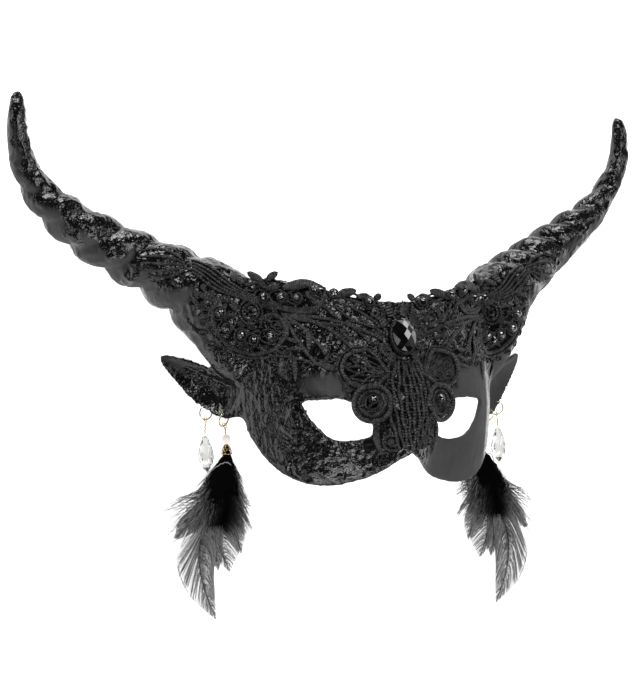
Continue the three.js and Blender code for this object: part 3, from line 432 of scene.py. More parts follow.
def box_centre(node):
    low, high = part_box(node)
    return np.array((low + high) / 2)


PART_SHIFT = box_centre("pearl_left") / MM - PEARL_LEFT


def quads_between(number, wrap):
    """Faces between neighbouring rows of point numbers; wrap closes each row to a ring."""
    ring = np.concatenate((number, number[:, :1]), 1) if wrap else number
    quads = np.stack((ring[:-1, :-1], ring[:-1, 1:], ring[1:, 1:], ring[1:, :-1]), -1)
    return quads.reshape(-1, 4).tolist()


def link_object(name, data):
    obj = bpy.data.objects.new(name, data)
    bpy.context.scene.collection.objects.link(obj)
    return obj


class Soup:
    """Gathers grids of points into one mesh. Each point keeps three values for the materials: how far
    it is along its thread in millimetres, a shade that is black at 0, and its turn round the thread."""

    def __init__(self):
        self.points, self.faces, self.threads, self.count = [], [], [], 0

    def grid(self, points, along=0.0, shade=0.0, wrap=False, caps=False):
        """points[i][j], with i along and j across; wrap closes each ring, caps closes both ends."""
        points = np.asarray(points, float)
        rows, columns = points.shape[:2]
        number = np.arange(rows * columns).reshape(rows, columns) + self.count
        self.faces.extend(quads_between(number, wrap))
        if caps:
            self.faces.append(number[0][::-1].tolist())
            self.faces.append(number[-1].tolist())
        thread = np.zeros((rows, columns, 3))
        thread[..., 0] = along if np.isscalar(along) else np.asarray(along)[:, None]
        thread[..., 1] = shade if np.isscalar(shade) else np.asarray(shade)[:, None]
        thread[..., 2] = np.arange(columns) / columns
        self.points.append(points.reshape(-1, 3))
        self.threads.append(thread.reshape(-1, 3))
        self.count += rows * columns

    def facets(self, points, faces):
        """Adds points with faces of their own, for cut glass."""
        self.faces.extend(faces)
        self.points.append(points)
        self.threads.append(np.zeros((len(points), 3)))
        self.count += len(points)

    def build(self, name, material, smooth=True):
        mesh = bpy.data.meshes.new(name)
        mesh.from_pydata(np.concatenate(self.points).tolist(), [], self.faces)
        store_threads(mesh, np.concatenate(self.threads))
        mesh.materials.append(material)
        if smooth:
            mesh.shade_smooth()
        return link_object(name, mesh)


def store_threads(mesh, values):
    attribute = mesh.attributes.new("thread", "FLOAT_VECTOR", "POINT")
    attribute.data.foreach_set("vector", values.astype(np.float32).ravel())


def piece(obj, slot, *nodes):
    """Every piece rides on the one body, and stands for the solids that it replaces."""
    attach(obj, "root")
    if nodes:
        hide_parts(*nodes)
    return obj


# Materials


def new_material(name, **values):
    material = bpy.data.materials.new(name)
    material.use_nodes = True
    shader = material.node_tree.nodes["Principled BSDF"]
    for socket, value in values.items():
        shader.inputs[socket.replace("_", " ")].default_value = value
    return material, material.node_tree, shader


def add_noise(tree, scale, detail=4.0, stretch=(1, 1, 1)):
    coordinates = tree.nodes.new("ShaderNodeTexCoord")
    mapping = tree.nodes.new("ShaderNodeMapping")
    mapping.inputs["Scale"].default_value = stretch
    texture = tree.nodes.new("ShaderNodeTexNoise")
    texture.inputs["Scale"].default_value = scale
    texture.inputs["Detail"].default_value = detail
    tree.links.new(coordinates.outputs["Object"], mapping.inputs["Vector"])
    tree.links.new(mapping.outputs["Vector"], texture.inputs["Vector"])
    return texture.outputs["Fac"]


def thread_value(tree, channel):
    attribute = tree.nodes.new("ShaderNodeAttribute")
    attribute.attribute_name = "thread"
    split = tree.nodes.new("ShaderNodeSeparateXYZ")
    tree.links.new(attribute.outputs["Vector"], split.inputs["Vector"])
    return split.outputs[channel]


def ramp(tree, source, *stops):
    node = tree.nodes.new("ShaderNodeValToRGB")
    elements = node.color_ramp.elements
    while len(elements) < len(stops):
        elements.new(0.5)
    for element, (place, colour) in zip(elements, stops):
        element.position = place
        element.color = (*colour, 1) if isinstance(colour, tuple) else (colour,) * 3 + (1,)
    tree.links.new(source, node.inputs["Fac"])
    return node.outputs["Color"]


def calculate(tree, operation, first, second):
    node = tree.nodes.new("ShaderNodeMath")
    node.operation = operation
    for socket, value in zip(node.inputs, (first, second)):
        if isinstance(value, (int, float)):
            socket.default_value = value
        else:
            tree.links.new(value, socket)
    return node.outputs["Value"]


def add_bump(tree, shader, *layers):
    """Stacks bump layers, each (height, strength, distance in metres)."""
    normal = None
    for height, strength, distance in layers:
        node = tree.nodes.new("ShaderNodeBump")
        node.inputs["Strength"].default_value = strength
        node.inputs["Distance"].default_value = distance
        tree.links.new(height, node.inputs["Height"])
        if normal is not None:
            tree.links.new(normal, node.inputs["Normal"])
        normal = node.outputs["Normal"]
    tree.links.new(normal, shader.inputs["Normal"])


def mottle(tree, shader, socket, source, *stops):
    """Drives one of the shader's sockets through a ramp."""
    tree.links.new(ramp(tree, source, *stops), shader.inputs[socket])


def shell_material(name, gloss, roughness):
    """Black lacquer over crinkled paper: glossy and crackled, but matt and smooth where it is calm, with a
    painted grey sheen there.
    """
    material, tree, shader = new_material(name, Specular_IOR_Level=gloss)
    calm = thread_value(tree, "X")
    rough = calculate(tree, "SUBTRACT", 1, calm)
    black = ramp(tree, add_noise(tree, *BLACK_NOISE), *BLACK_RAMP)
    # Painted sheen: the calm places get grey in their base colour, standing in for light they reflect.
    matt = calculate(tree, "MULTIPLY", calm, MATT_PAINTED_SHEEN)
    tree.links.new(calculate(tree, "ADD", black, matt), shader.inputs["Base Color"])
    shine = ramp(tree, add_noise(tree, *SHINE_NOISE), *zip(SHINE_PLACES, roughness))
    dulled = calculate(tree, "MULTIPLY", calculate(tree, "POWER", calm, MATT_ONSET), MATT_ROUGHNESS)
    tree.links.new(calculate(tree, "ADD", shine, dulled), shader.inputs["Roughness"])
    wrinkles = calculate(tree, "MULTIPLY", add_noise(tree, *WRINKLE_NOISE), rough)
    crackled = ramp(tree, add_noise(tree, *CRACKLED_NOISE), *CRACKLED_RAMP)
    crackle = calculate(tree, "MULTIPLY", add_noise(tree, *CRACKLE_NOISE), crackled)
    crackle = calculate(tree, "MULTIPLY", crackle, rough)
    streaks = calculate(tree, "MULTIPLY", add_noise(tree, *STREAK_NOISE), rough)
    specks = ramp(tree, add_noise(tree, *SPECK_NOISE), *SPECK_RAMP)
    add_bump(tree, shader, (wrinkles, *WRINKLE_BUMP), (streaks, *STREAK_BUMP), (crackle, *CRACKLE_BUMP),
             (specks, *SPECK_BUMP))
    return material


def lace_material():
    """Black cotton, with the twist of its threads and their loose fibres."""
    material, tree, shader = new_material("lace", Specular_IOR_Level=LACE_GLOSS)
    laid = calculate(tree, "MULTIPLY", thread_value(tree, "X"), 1 / TWIST_PITCH)
    twist = calculate(tree, "ADD", laid, thread_value(tree, "Z"))
    stitches = calculate(tree, "SINE", calculate(tree, "MULTIPLY", twist, 2 * math.pi), 0)
    fibres = add_noise(tree, *FIBRE_NOISE)
    mottle(tree, shader, "Base Color", add_noise(tree, *LACE_NOISE), *LACE_RAMP)
    mottle(tree, shader, "Roughness", fibres, *FIBRE_ROUGHNESS)
    add_bump(tree, shader, (stitches, *STITCH_BUMP), (fibres, *FIBRE_BUMP))
    return material


def stone_material(name, refraction):
    """Black glass; a facet's shade is painted light in its base colour, a painted highlight or reflection on
    the gem's flashing facets.
    """
    material, tree, shader = new_material(name, IOR=refraction)
    mottle(tree, shader, "Base Color", thread_value(tree, "Y"), *STONE_SHADES)
    mottle(tree, shader, "Roughness", add_noise(tree, *STONE_NOISE), *STONE_ROUGHNESS)
    return material


def feather_material():
    """Black to grey by each barb's shade, a little uneven."""
    material, tree, shader = new_material("feather", **FEATHER_FINISH)
    uneven = calculate(tree, "ADD", add_noise(tree, *FEATHER_NOISE), 0.5)
    shade = calculate(tree, "MULTIPLY", thread_value(tree, "Y"), uneven)
    mottle(tree, shader, "Base Color", shade, *FEATHER_RAMP)
    return material


def finished_material(name):
    """A plainer material, as its finish says."""
    finish = FINISHES[name]
    material, tree, shader = new_material(name, **finish["fixed"])
    for socket, (scale, detail, *stops) in finish["varied"].items():
        mottle(tree, shader, socket, add_noise(tree, scale, detail), *stops)
    if "bump" in finish:
        scale, detail, strength, distance = finish["bump"]
        add_bump(tree, shader, (add_noise(tree, scale, detail), strength, distance))
    return material


# Body: face shell, horns and ears moulded as one


def face_height(x, y):
    x, y = np.abs(np.asarray(x, float)), np.asarray(y, float)
    side = -SIDE_DROP * (x / HALF_WIDTH) ** SIDE_POWER
    above = -FOREHEAD_DROP * (np.maximum(0, y - EYE_LEVEL) / FOREHEAD_SPAN) ** FOREHEAD_POWER
    below = -CHEEK_DROP * (np.maximum(0, EYE_LEVEL - y) / CHEEK_SPAN) ** 2
    nose = NOSE_RISE * ease((NOSE_TOP - y) / NOSE_LENGTH) * np.exp(-((x / NOSE_WIDTH) ** 2))
    return side + above + below + nose


def face_normal(x, y, step=0.1):
    slope_x = (face_height(x + step, y) - face_height(x - step, y)) / (2 * step)
    slope_y = (face_height(x, y + step) - face_height(x, y - step)) / (2 * step)
    return unit(np.stack((-slope_x, -slope_y, np.ones_like(slope_x)), -1))


def face_sheet(low, high, inward):
    """The moulded face between two edges, or its parallel surface inward of it, as points[i][j]."""
    x = HALF_WIDTH * np.sin(np.linspace(-1, 1, SHELL_COLUMNS + 1) * math.pi / 2)
    bottom, top = low(np.abs(x)), high(np.abs(x))
    share = np.linspace(0, 1, SHELL_ROWS + 1)
    y = bottom[:, None] + (top - bottom)[:, None] * share
    x = np.repeat(x[:, None], SHELL_ROWS + 1, 1)
    surface = np.stack((x, y, face_height(x, y)), -1)
    return surface - inward * face_normal(x, y)


def closed_plate(name, upper, lower):
    """A closed body between two sheets of points."""
    columns, rows = upper.shape[:2]
    number = np.arange(columns * rows).reshape(columns, rows)
    top = np.stack((number[:-1, :-1], number[1:, :-1], number[1:, 1:], number[:-1, 1:]), -1).reshape(-1, 4)
    below = columns * rows
    rim = [*number[:, 0], *number[-1, 1:], *number[-2::-1, -1], *number[0, -2:0:-1]]
    walls = [(b, a, a + below, b + below) for a, b in zip(rim, rim[1:] + rim[:1])]
    points = np.concatenate((upper.reshape(-1, 3), lower.reshape(-1, 3)))
    return loose_mesh(name, points, [*top.tolist(), *(top[:, ::-1] + below).tolist(), *walls])


def closed_loft(name, loops):
    """A closed body through rings of points, each turning to the left seen from the ring before."""
    loops = np.asarray(loops)
    rings, count = loops.shape[:2]
    number = np.arange(rings * count).reshape(rings, count)
    first, last = rings * count, rings * count + 1
    points = np.concatenate((loops.reshape(-1, 3), loops[0].mean(0)[None], loops[-1].mean(0)[None]))
    fans = [(first, b, a) for a, b in zip(number[0], np.roll(number[0], -1))]
    fans += [(last, a, b) for a, b in zip(number[-1], np.roll(number[-1], -1))]
    return loose_mesh(name, points, quads_between(number, True) + fans)


def loose_mesh(name, points, faces):
    mesh = bpy.data.meshes.new(name)
    mesh.from_pydata(on_table(points).tolist(), [], [[int(v) for v in face] for face in faces])
    return link_object(name, mesh)


def centripetal(points, t):
    """A centripetal Catmull-Rom curve through points, from 0 at the first to 1 at the last."""
    points = np.asarray(points, float)
    last = len(points) - 1
    i = min(int(t * last), last - 1)
    w = t * last - i
    p1, p2 = points[i], points[i + 1]
    p0 = points[i - 1] if i > 0 else 2 * points[0] - points[1]
    p3 = points[i + 2] if i + 2 <= last else 2 * points[-1] - points[-2]
    d0, d1, d2 = (math.sqrt(np.linalg.norm(b - a)) for a, b in ((p0, p1), (p1, p2), (p2, p3)))
    m1 = ((p1 - p0) / d0 - (p2 - p0) / (d0 + d1) + (p2 - p1) / d1) * d1
    m2 = ((p2 - p1) / d1 - (p3 - p1) / (d1 + d2) + (p3 - p2) / d2) * d1
    return cubic(p1, p2, m1, m2, w)


def uniform_curve(points, positions):
    """A Catmull-Rom curve through points with its ends doubled, at positions counted in points."""
    points = np.asarray(points, float)
    padded = np.concatenate((points[:1], points, points[-1:]))
    curve = []
    for t in positions:
        i = min(int(t), len(points) - 2)
        p0, p1, p2, p3 = padded[i : i + 4]
        curve.append(cubic(p1, p2, (p2 - p0) / 2, (p3 - p1) / 2, t - i))
    return np.array(curve)


def ridge_factor(side, turn, length, t):
    """Rope-like lobes with a sharp groove between them; the right horn is slimmer below."""
    cycles = length / RIDGE_PITCH + RIDGE_STARTS * turn / (2 * math.pi)
    groove = 1 - np.abs(np.sin(math.pi * cycles)) ** RIDGE_SHARPNESS
    depth = 1 - RIDGE_BEHIND * np.cos(turn) - RIDGE_BELOW[side] * np.sin(turn)
    depth = np.maximum(depth, RIDGE_LEAST[side])
    span = past(t, RIDGES_BEGIN, RIDGE_FADE) * past(-t, -RIDGES_END, RIDGE_FADE)
    slimmer = RIGHT_SLIMMING * (side > 0) * np.maximum(-np.sin(turn), 0) * span
    return (1 - RIDGE_DEPTH * depth * groove * span) * (1 - slimmer)


def horn(side):
    turn = np.linspace(0, 2 * math.pi, HORN_SIDES, endpoint=False)
    stations = np.arange(len(HORN_PLACES))
    loops, length, previous = [], 0, centripetal(HORN_PLACES, 0)
    for t in np.linspace(0, 1, HORN_RINGS + 1):
        centre = centripetal(HORN_PLACES, t)
        after, before = min(t + TANGENT_STEP, 1), max(t - TANGENT_STEP, 0)
        tangent = unit(centripetal(HORN_PLACES, after) - centripetal(HORN_PLACES, before))
        length += np.linalg.norm(centre - previous)
        previous = centre
        radius, flat, lean = (smooth_through(np.stack((stations, values), 1), t * stations[-1])
                              for values in (HORN_RADII, HORN_FLATS, HORN_LEANS))
        up = unit((-tangent[1], tangent[0], 0))
        front = np.cross(tangent, up)
        reach = (radius * ridge_factor(side, turn, length, t))[:, None]
        ring = centre + up * reach * np.sin(turn)[:, None] + front * reach * flat * np.cos(turn)[:, None]
        ring = ring * (side, 1, 1) - (lean, 0, 0)
        loops.append(ring[::-1] if side > 0 else ring)
    beyond = tangent * TIP_ROUNDING * (side, 1, 1)
    apex = centre * (side, 1, 1) + beyond
    loops.append(apex + (loops[-1] + beyond - apex) * TIP_CAP)
    return closed_loft(f"horn_{side}", loops)


def ear_point(side, along, across, depth):
    out = unit(np.cross(EAR_AXIS, EAR_ACROSS))
    along, across, depth = (np.asarray(value, float)[..., None] for value in (along, across, depth))
    point = EAR_ROOT + EAR_AXIS * along + EAR_ACROSS * across + out * depth
    lean = EAR_TIP_LEAN * ease(along / EAR_LENGTH)
    return point * (side, 1, 1) + lean * (1, 0, 0)


def ear(side):
    v = np.linspace(-1, 1, EAR_SPANS + 1)
    roll = EAR_ROLL * np.exp(-(((v - EAR_ROLL_AT) / EAR_ROLL_WIDTH) ** 2))
    furrow = EAR_FURROW * np.exp(-(((v - EAR_FURROW_AT) / EAR_FURROW_WIDTH) ** 2))
    loops = []
    for along in np.linspace(EAR_ALONG[0], EAR_ALONG[-1], EAR_STEPS + 1):
        upper, lower = (smooth_through(np.stack((EAR_ALONG, edge), 1), along)
                        for edge in (EAR_UPPER, EAR_LOWER))
        middle, half = (upper - lower) / 2, (upper + lower) / 2
        cup = EAR_CUP * half / EAR_CUP_HALF * ease((EAR_LENGTH - along) / EAR_CUP_FADE)
        cup *= ease(1 + along / EAR_BLEND)
        relief = (roll - furrow) * ease(half / EAR_RELIEF_HALF)
        sag = -cup * (1 - v * v)
        wall = min(EAR_THICKNESS, half) * (1 - EAR_EDGE_THINNING * v**4) * (1 + ease(-along / EAR_BLEND))
        front = ear_point(side, along, middle + half * v, sag + relief)
        back = ear_point(side, along, middle + half * v, sag - wall)
        loop = np.concatenate((front, back[::-1]))
        loops.append(loop[::-1] if side > 0 else loop)
    return closed_loft(f"ear_{side}", loops)


def eye_cutter(side):
    outline = []
    for lid in ((EYE_OUTER_CORNER, *EYE_UPPER_LID, EYE_INNER_CORNER),
                (EYE_INNER_CORNER, *EYE_LOWER_LID, EYE_OUTER_CORNER)):
        positions = np.linspace(0, 1, LID_STEPS, endpoint=False) * (len(lid) - 1)
        outline.append(uniform_curve(lid, positions))
    outline = np.concatenate(outline) * (side, 1)
    loops = [np.column_stack((outline, np.full(len(outline), z))) for z in EYE_CUT]
    return closed_loft(f"eye_{side}", [loop[::-1] for loop in loops] if side < 0 else loops)


def join_or_cut(obj, other, operation):
    modifier = obj.modifiers.new(operation, "BOOLEAN")
    modifier.operation = operation
    modifier.solver = "MANIFOLD"
    modifier.object = other


def apply_modifiers(obj):
    bpy.context.view_layer.update()
    graph = bpy.context.evaluated_depsgraph_get()
    mesh = bpy.data.meshes.new_from_object(obj.evaluated_get(graph))
    obj.modifiers.clear()
    obj.data = mesh


def relax(points, edges, weights, rounds):
    """Moves each point towards the mean of its neighbours, by its weight."""
    count = len(points)
    ends = np.concatenate((edges[:, 0], edges[:, 1]))
    others = np.concatenate((edges[:, 1], edges[:, 0]))
    degree = np.maximum(np.bincount(ends, minlength=count), 1)[:, None]
    for _ in range(rounds):
        near = np.stack([np.bincount(ends, points[others, k], count) for k in range(3)], 1) / degree
        points = points + (near - points) * weights[:, None]
    return points


def calmness(points, faces_down):
    """How smooth and matt the lacquer is at each place, from 0 to 1; this also sets its painted grey sheen,
    which on the horns lies on faces turned down.
    """
    x, y = points[:, 0], points[:, 1]
    cheek = past(x, *CHEEK_ACROSS) * past(-y, *CHEEK_DOWN)
    cheek *= 1 - past(x, *STRIP_FROM) * past(-x, *STRIP_TO)
    sideways, upwards = (np.abs(points[:, k] - OVER_EYE[k]) / OVER_EYE_REACH[k] for k in (0, 1))
    over_eye = ease(1 - sideways) * ease(1 - upwards)
    patches = np.array([noise.noise(point / MATT_PATCH) for point in points])
    # Painted sheen on the undersides of the horns: faces that turn down get matt grey, standing in for light
    # from below.
    under_horn = past(np.abs(x), *HORN_FROM) * past(faces_down, *FACES_DOWN_FROM)
    under_horn *= past(patches, *PATCHES_FROM)
    return np.maximum.reduce((cheek, OVER_EYE_MATT_AND_SHEEN * over_eye, HORN_MATT_AND_SHEEN * under_horn))


def unevenness(place, size, shift=(0, 0, 0)):
    return noise.noise([a / b + c for a, b, c in zip(place, size, shift)])


def crumple(points):
    """Height of the hand-worked wrinkles at each place: lumps, creases in patches, dents, and streaks
    down the temples."""
    heights = np.empty(len(points))
    for n, place in enumerate(points):
        patch = past(unevenness(place, PATCH_SIZE, PATCH_SHIFT), *PATCH_FROM)
        crease = 1 - 2 * abs(unevenness(place, CREASE_SIZE))
        worked = LUMP * unevenness(place, LUMP_SIZE) + (CREASE + PATCH_CREASE * patch) * crease
        worked += DENT * unevenness(place, DENT_SIZE, DENT_SHIFT)
        x, y = abs(place[0]), place[1]
        temple = past(x, *TEMPLE_FROM) * past(-x, *TEMPLE_TO) * past(-y, *TEMPLE_UNDER)
        streak = unevenness(place, STREAK_SIZE)
        heights[n] = worked * (1 - TEMPLE_CALM * temple) + STREAK * streak * temple
    return heights


def distances(tree, points):
    return np.array([tree.find_nearest(Vector(p))[3] for p in points]) / MM


def mask_body(material, glued):
    chin, brow = partial(smooth_through, CHIN_EDGE), partial(smooth_through, TOP_EDGE)
    shell = closed_plate("mask_body_skin", face_sheet(chin, brow, 0), face_sheet(chin, brow, SHELL))
    shell_tree = BVHTree.FromPolygons(*plain_mesh(shell))
    ceiling = face_sheet(lambda x: x * 0 + ROOM_LOW, lambda x: x * 0 + ROOM_HIGH, SHELL - ROOM_GAP)
    floor = ceiling * (1, 1, 0) + (0, 0, ROOM_BACK)
    room = closed_plate("room", ceiling, floor)
    scrap, horns_tree = [room], []
    for _, side in SIDES:
        limb, lobe, cutter = horn(side), ear(side), eye_cutter(side)
        join_or_cut(limb, lobe, "UNION")
        join_or_cut(limb, room, "DIFFERENCE")
        apply_modifiers(limb)
        horns_tree.append(BVHTree.FromPolygons(*plain_mesh(limb)))
        join_or_cut(shell, limb, "UNION")
        join_or_cut(shell, cutter, "DIFFERENCE")
        scrap += [limb, lobe, cutter]
    remesh = shell.modifiers.new("remesh", "REMESH")
    remesh.mode = "VOXEL"
    remesh.voxel_size = VOXEL
    apply_modifiers(shell)
    for obj in scrap:
        bpy.data.objects.remove(obj)

    mesh = shell.data
    points = read(mesh.vertices, "co", 3)
    edges = read(mesh.edges, "vertices", 2, np.int32)
    near_horn = np.minimum(*(distances(tree, points) for tree in horns_tree))
    near_both = np.maximum(distances(shell_tree, points), near_horn)
    points = relax(points, edges, np.full(len(points), 0.5), SOFTEN_ROUNDS)
    points = relax(points, edges, 0.5 * ease(1 - near_both / SEAM_REACH), SEAM_ROUNDS)
    write_points(mesh, points)
    normals = read(mesh.vertex_normals, "vector", 3)
    places = in_mask(points)
    outward = past(normals @ turned_to_table((0, 0, 1))[0], *FRONT_FROM)
    calm = calmness(places, -normals @ turned_to_table((0, 1, 0))[0])
    inside_chin = places[:, 1] - chin(np.minimum(np.abs(places[:, 0]), HALF_WIDTH))
    even_rim = CHIN_LEAST + (1 - CHIN_LEAST) * ease(inside_chin / CHIN_REACH)
    # Here the thread's first value is how calm the lacquer is, which also sets its painted grey sheen.
    store_threads(mesh, np.outer(calm, (1, 0, 0)))
    height = crumple(places) * (BACK_LEAST + (1 - BACK_LEAST) * outward)
    height = height * (1 - CALM_FLATNESS * calm) * even_rim * MM
    points = points + normals * height[:, None]
    points[:, 2] = np.maximum(points[:, 2], 0)
    write_points(mesh, points)
    mesh.materials.clear()
    mesh.materials.append(material)
    mesh.materials.append(glued)
    middles = in_mask(read(mesh.polygons, "center", 3))
    mesh.polygons.foreach_set("material_index", glued_faces(middles).astype(np.int32))
    mesh.shade_smooth()
    shell.name = "moulded_mask"
    return piece(shell, "shell", "mask_body")


def glued_faces(places):
    """Which faces lie under the lace where glue has left the lacquer dull."""
    x = np.abs(places[:, 0])
    low, high = smooth_through(LACE_LOWER, x), smooth_through(LACE_UPPER, x)
    inset = np.minimum(places[:, 1] - low, high - places[:, 1])
    front = places[:, 2] > face_height(np.minimum(x, HALF_WIDTH), places[:, 1]) - SHELL / 2
    open_patch = np.array([noise.noise(place / GLINT_SIZE) for place in places]) > GLINT_LEVEL
    among_stems = (x < BARE_STEMS[0]) & (places[:, 1] > BARE_STEMS[1])
    under_lace = (inset > GLUE_EDGE) & (x < LACE_REACH) & (front | (x > HALF_WIDTH))
    return under_lace & ~(open_patch | among_stems)


def plain_mesh(obj):
    return [v.co.copy() for v in obj.data.vertices], [tuple(p.vertices) for p in obj.data.polygons]


def read(collection, field, width, kind=np.float32):
    values = np.empty(len(collection) * width, kind)
    collection.foreach_get(field, values)
    return values.reshape(-1, width).astype(float if kind == np.float32 else kind)


def write_points(mesh, points):
    mesh.vertices.foreach_set("co", points.astype(np.float32).ravel())
    mesh.update()


# Lace


class Lace:
    """Lays raised cords, leaves and rings on the mask's front."""

    def __init__(self, body):
        self.tree = BVHTree.FromPolygons(*plain_mesh(body))
        self.soup = Soup()
        self.trail = []
        self.toward = Vector(turned_to_table((0, 0, -1))[0])
        self.last_height = FIRST_HEIGHT

    def under(self, x, y):
        """Where the front lies under a place, and which way it faces; past the edges and over the
        eye openings the face carries on as if it were whole."""
        height = float(face_height(x, y))
        normal = face_normal(np.float64(x), np.float64(y))
        hit, facing, _, _ = self.tree.ray_cast(Vector(on_table((x, y, RAY_HEIGHT))[0]), self.toward)
        if hit is not None:
            place = in_mask(hit)[0]
            if place[2] > height - FRONT_GAP or abs(x) > FACE_EDGE:
                return place, tilted(facing, -LYING_TILT)[0]
        if abs(x) > FACE_EDGE:
            height = self.last_height
        return np.array((x, y, height)), normal

    def follow(self, path):
        """The path laid on the front: its places, the way the front faces and the way it runs."""
        places, normals = [], []
        for x, y in path:
            place, normal = self.under(x, y)
            self.last_height = place[2]
            places.append(place)
            normals.append(normal)
        places, normals = np.array(places), np.array(normals)
        normals[:, 2] = np.maximum(normals[:, 2], LEAST_FACING)
        if len(path) > SMOOTHED_FROM:
            for _ in range(2):
                normals[1:-1] = (normals[:-2] + normals[1:-1] + normals[2:]) / 3
                places[1:-1, 2] = (places[:-2, 2] + places[1:-1, 2] + places[2:, 2]) / 3
        normals = unit(normals)
        ways = unit(np.gradient(places, axis=0))
        return places, normals, ways

    def cord(self, path, width=CORD, height=None, shape=None, lift=0.0, sides=None, rib=0.0, keep=True):
        """A padded cord on a path. shape(t) swells or narrows it from 0 to 1 along its length, rib is
        how deep its middle is sunk, and keep tells the filler that this place is taken."""
        path = np.asarray(path, float)
        if len(path) < 3:
            return
        height = height or width
        sides = sides or (FINE_SIDES if width < FINE_BELOW else CORD_SIDES)
        places, normals, ways = self.follow(path)
        across = unit(np.cross(normals, ways))
        steps = np.linalg.norm(np.diff(places, axis=0), axis=1)
        along = np.concatenate(((0,), np.cumsum(steps)))
        if shape:
            size = shape(along / along[-1])
        else:
            size = np.clip(np.minimum(along, along[-1] - along) / (width * 0.5), CORD_TIP, 1) ** 0.5
        turn = np.linspace(-0.5 * math.pi, 1.5 * math.pi, sides, endpoint=False)
        crown = np.sin(turn) * (1 - rib * np.exp(-((np.cos(turn) / RIB_WIDTH) ** 2)))
        side_reach = across[:, None] * (size[:, None] * np.cos(turn) * width / 2)[..., None]
        rise = (CORD_SEAT * height + lift + 0.5 * height * size[:, None] * crown)[..., None]
        rings = places[:, None] + side_reach + normals[:, None] * rise
        flat = on_table(rings).reshape(rings.shape)
        self.soup.grid(flat, along, 0.0, wrap=True, caps=True)
        if keep:
            self.trail.extend(path[::2].tolist())

    def leaf(self, base, tip, width, bend=0.0):
        """A satin-stitched leaf with a rib down its middle."""
        path = arc(base, tip, bend)
        self.cord(path, width, LEAF_HEIGHT, leaf_shape, LEAF_LIFT, sides=PADDED_SIDES, rib=LEAF_RIB)

    def open_leaf(self, base, tip, width, bend=0.0):
        """A leaf drawn by its outline, with the mask showing inside."""
        middle = arc(base, tip, bend)
        ways = unit(np.gradient(middle, axis=0))
        across = np.stack((-ways[:, 1], ways[:, 0]), 1)
        share = np.linspace(0, 1, len(middle))
        swell = (np.sin(math.pi * share**OPEN_LEAF_SWELL) * width / 2)[:, None]
        self.cord(middle + across * swell)
        self.cord(middle - across * swell)

    def pad(self, x, y, width, length, angle=0.0, height=PAD_HEIGHT):
        """A round or oval stitched pad."""
        half = np.array((math.cos(angle), math.sin(angle))) * length / 2
        path = arc((x, y) - half, (x, y) + half, 0)
        self.cord(path, width, height, round_shape, PAD_LIFT, sides=PADDED_SIDES, rib=PAD_RIB)

    def ring(self, x, y, width, length, thread=CORD, angle=0.0, lift=RING_LIFT):
        count = max(RING_LEAST, int(math.pi * (width + length) / 2 / CORD_STEP))
        turn = np.linspace(0, 2 * math.pi, count)
        c, s = math.cos(angle), math.sin(angle)
        a, b = np.cos(turn) * length / 2, np.sin(turn) * width / 2
        self.cord(np.stack((x + a * c - b * s, y + a * s + b * c), 1), thread, shape=np.ones_like, lift=lift)

    def scroll(self, x, y, radius, start, turns, hand, thread):
        """A spiral that winds in from radius to its eye."""
        length = 2 * math.pi * radius * turns * SCROLL_MEAN
        share = np.linspace(0, 1, max(SCROLL_LEAST, int(length / CORD_STEP)))
        angle = start + hand * share * turns * 2 * math.pi
        reach = radius * (1 - (1 - SCROLL_EYE) * share)
        self.cord(np.stack((x + reach * np.cos(angle), y + reach * np.sin(angle)), 1), thread)
        self.pad(x, y, radius * SCROLL_PAD, radius * SCROLL_PAD)


def arc(start, end, bend):
    """Places from start to end, bowed to the left by bend times their distance."""
    start, end = np.asarray(start, float), np.asarray(end, float)
    run = end - start
    count = max(ARC_LEAST, int(np.linalg.norm(run) / CORD_STEP) + 1)
    share = np.linspace(0, 1, count)[:, None]
    bow = np.array((-run[1], run[0])) * bend
    return start + run * share + bow * 4 * share * (1 - share)


def leaf_shape(share):
    return LEAF_END + (1 - LEAF_END) * np.sin(math.pi * share**LEAF_SWELL) ** LEAF_SWELL


def round_shape(share):
    return np.sqrt(np.clip(1 - (2 * share - 1) ** 2, ROUND_END, 1))


def through(points):
    """A smooth path through points, with a place about every step."""
    points = [np.array(p, float) for p in points]
    length = sum(np.linalg.norm(b - a) for a, b in zip(points, points[1:]))
    return uniform_curve(points, np.linspace(0, len(points) - 1, max(3, int(length / CORD_STEP))))


def wing_rim(degrees, radius):
    angle = math.radians(degrees)
    return np.array(WING) + radius * np.array((math.cos(angle), WING_SQUASH * math.sin(angle)))


def fan_shape(share):
    return FAN_END + (1 - FAN_END) * np.sin(math.pi * share**FAN_SWELL)


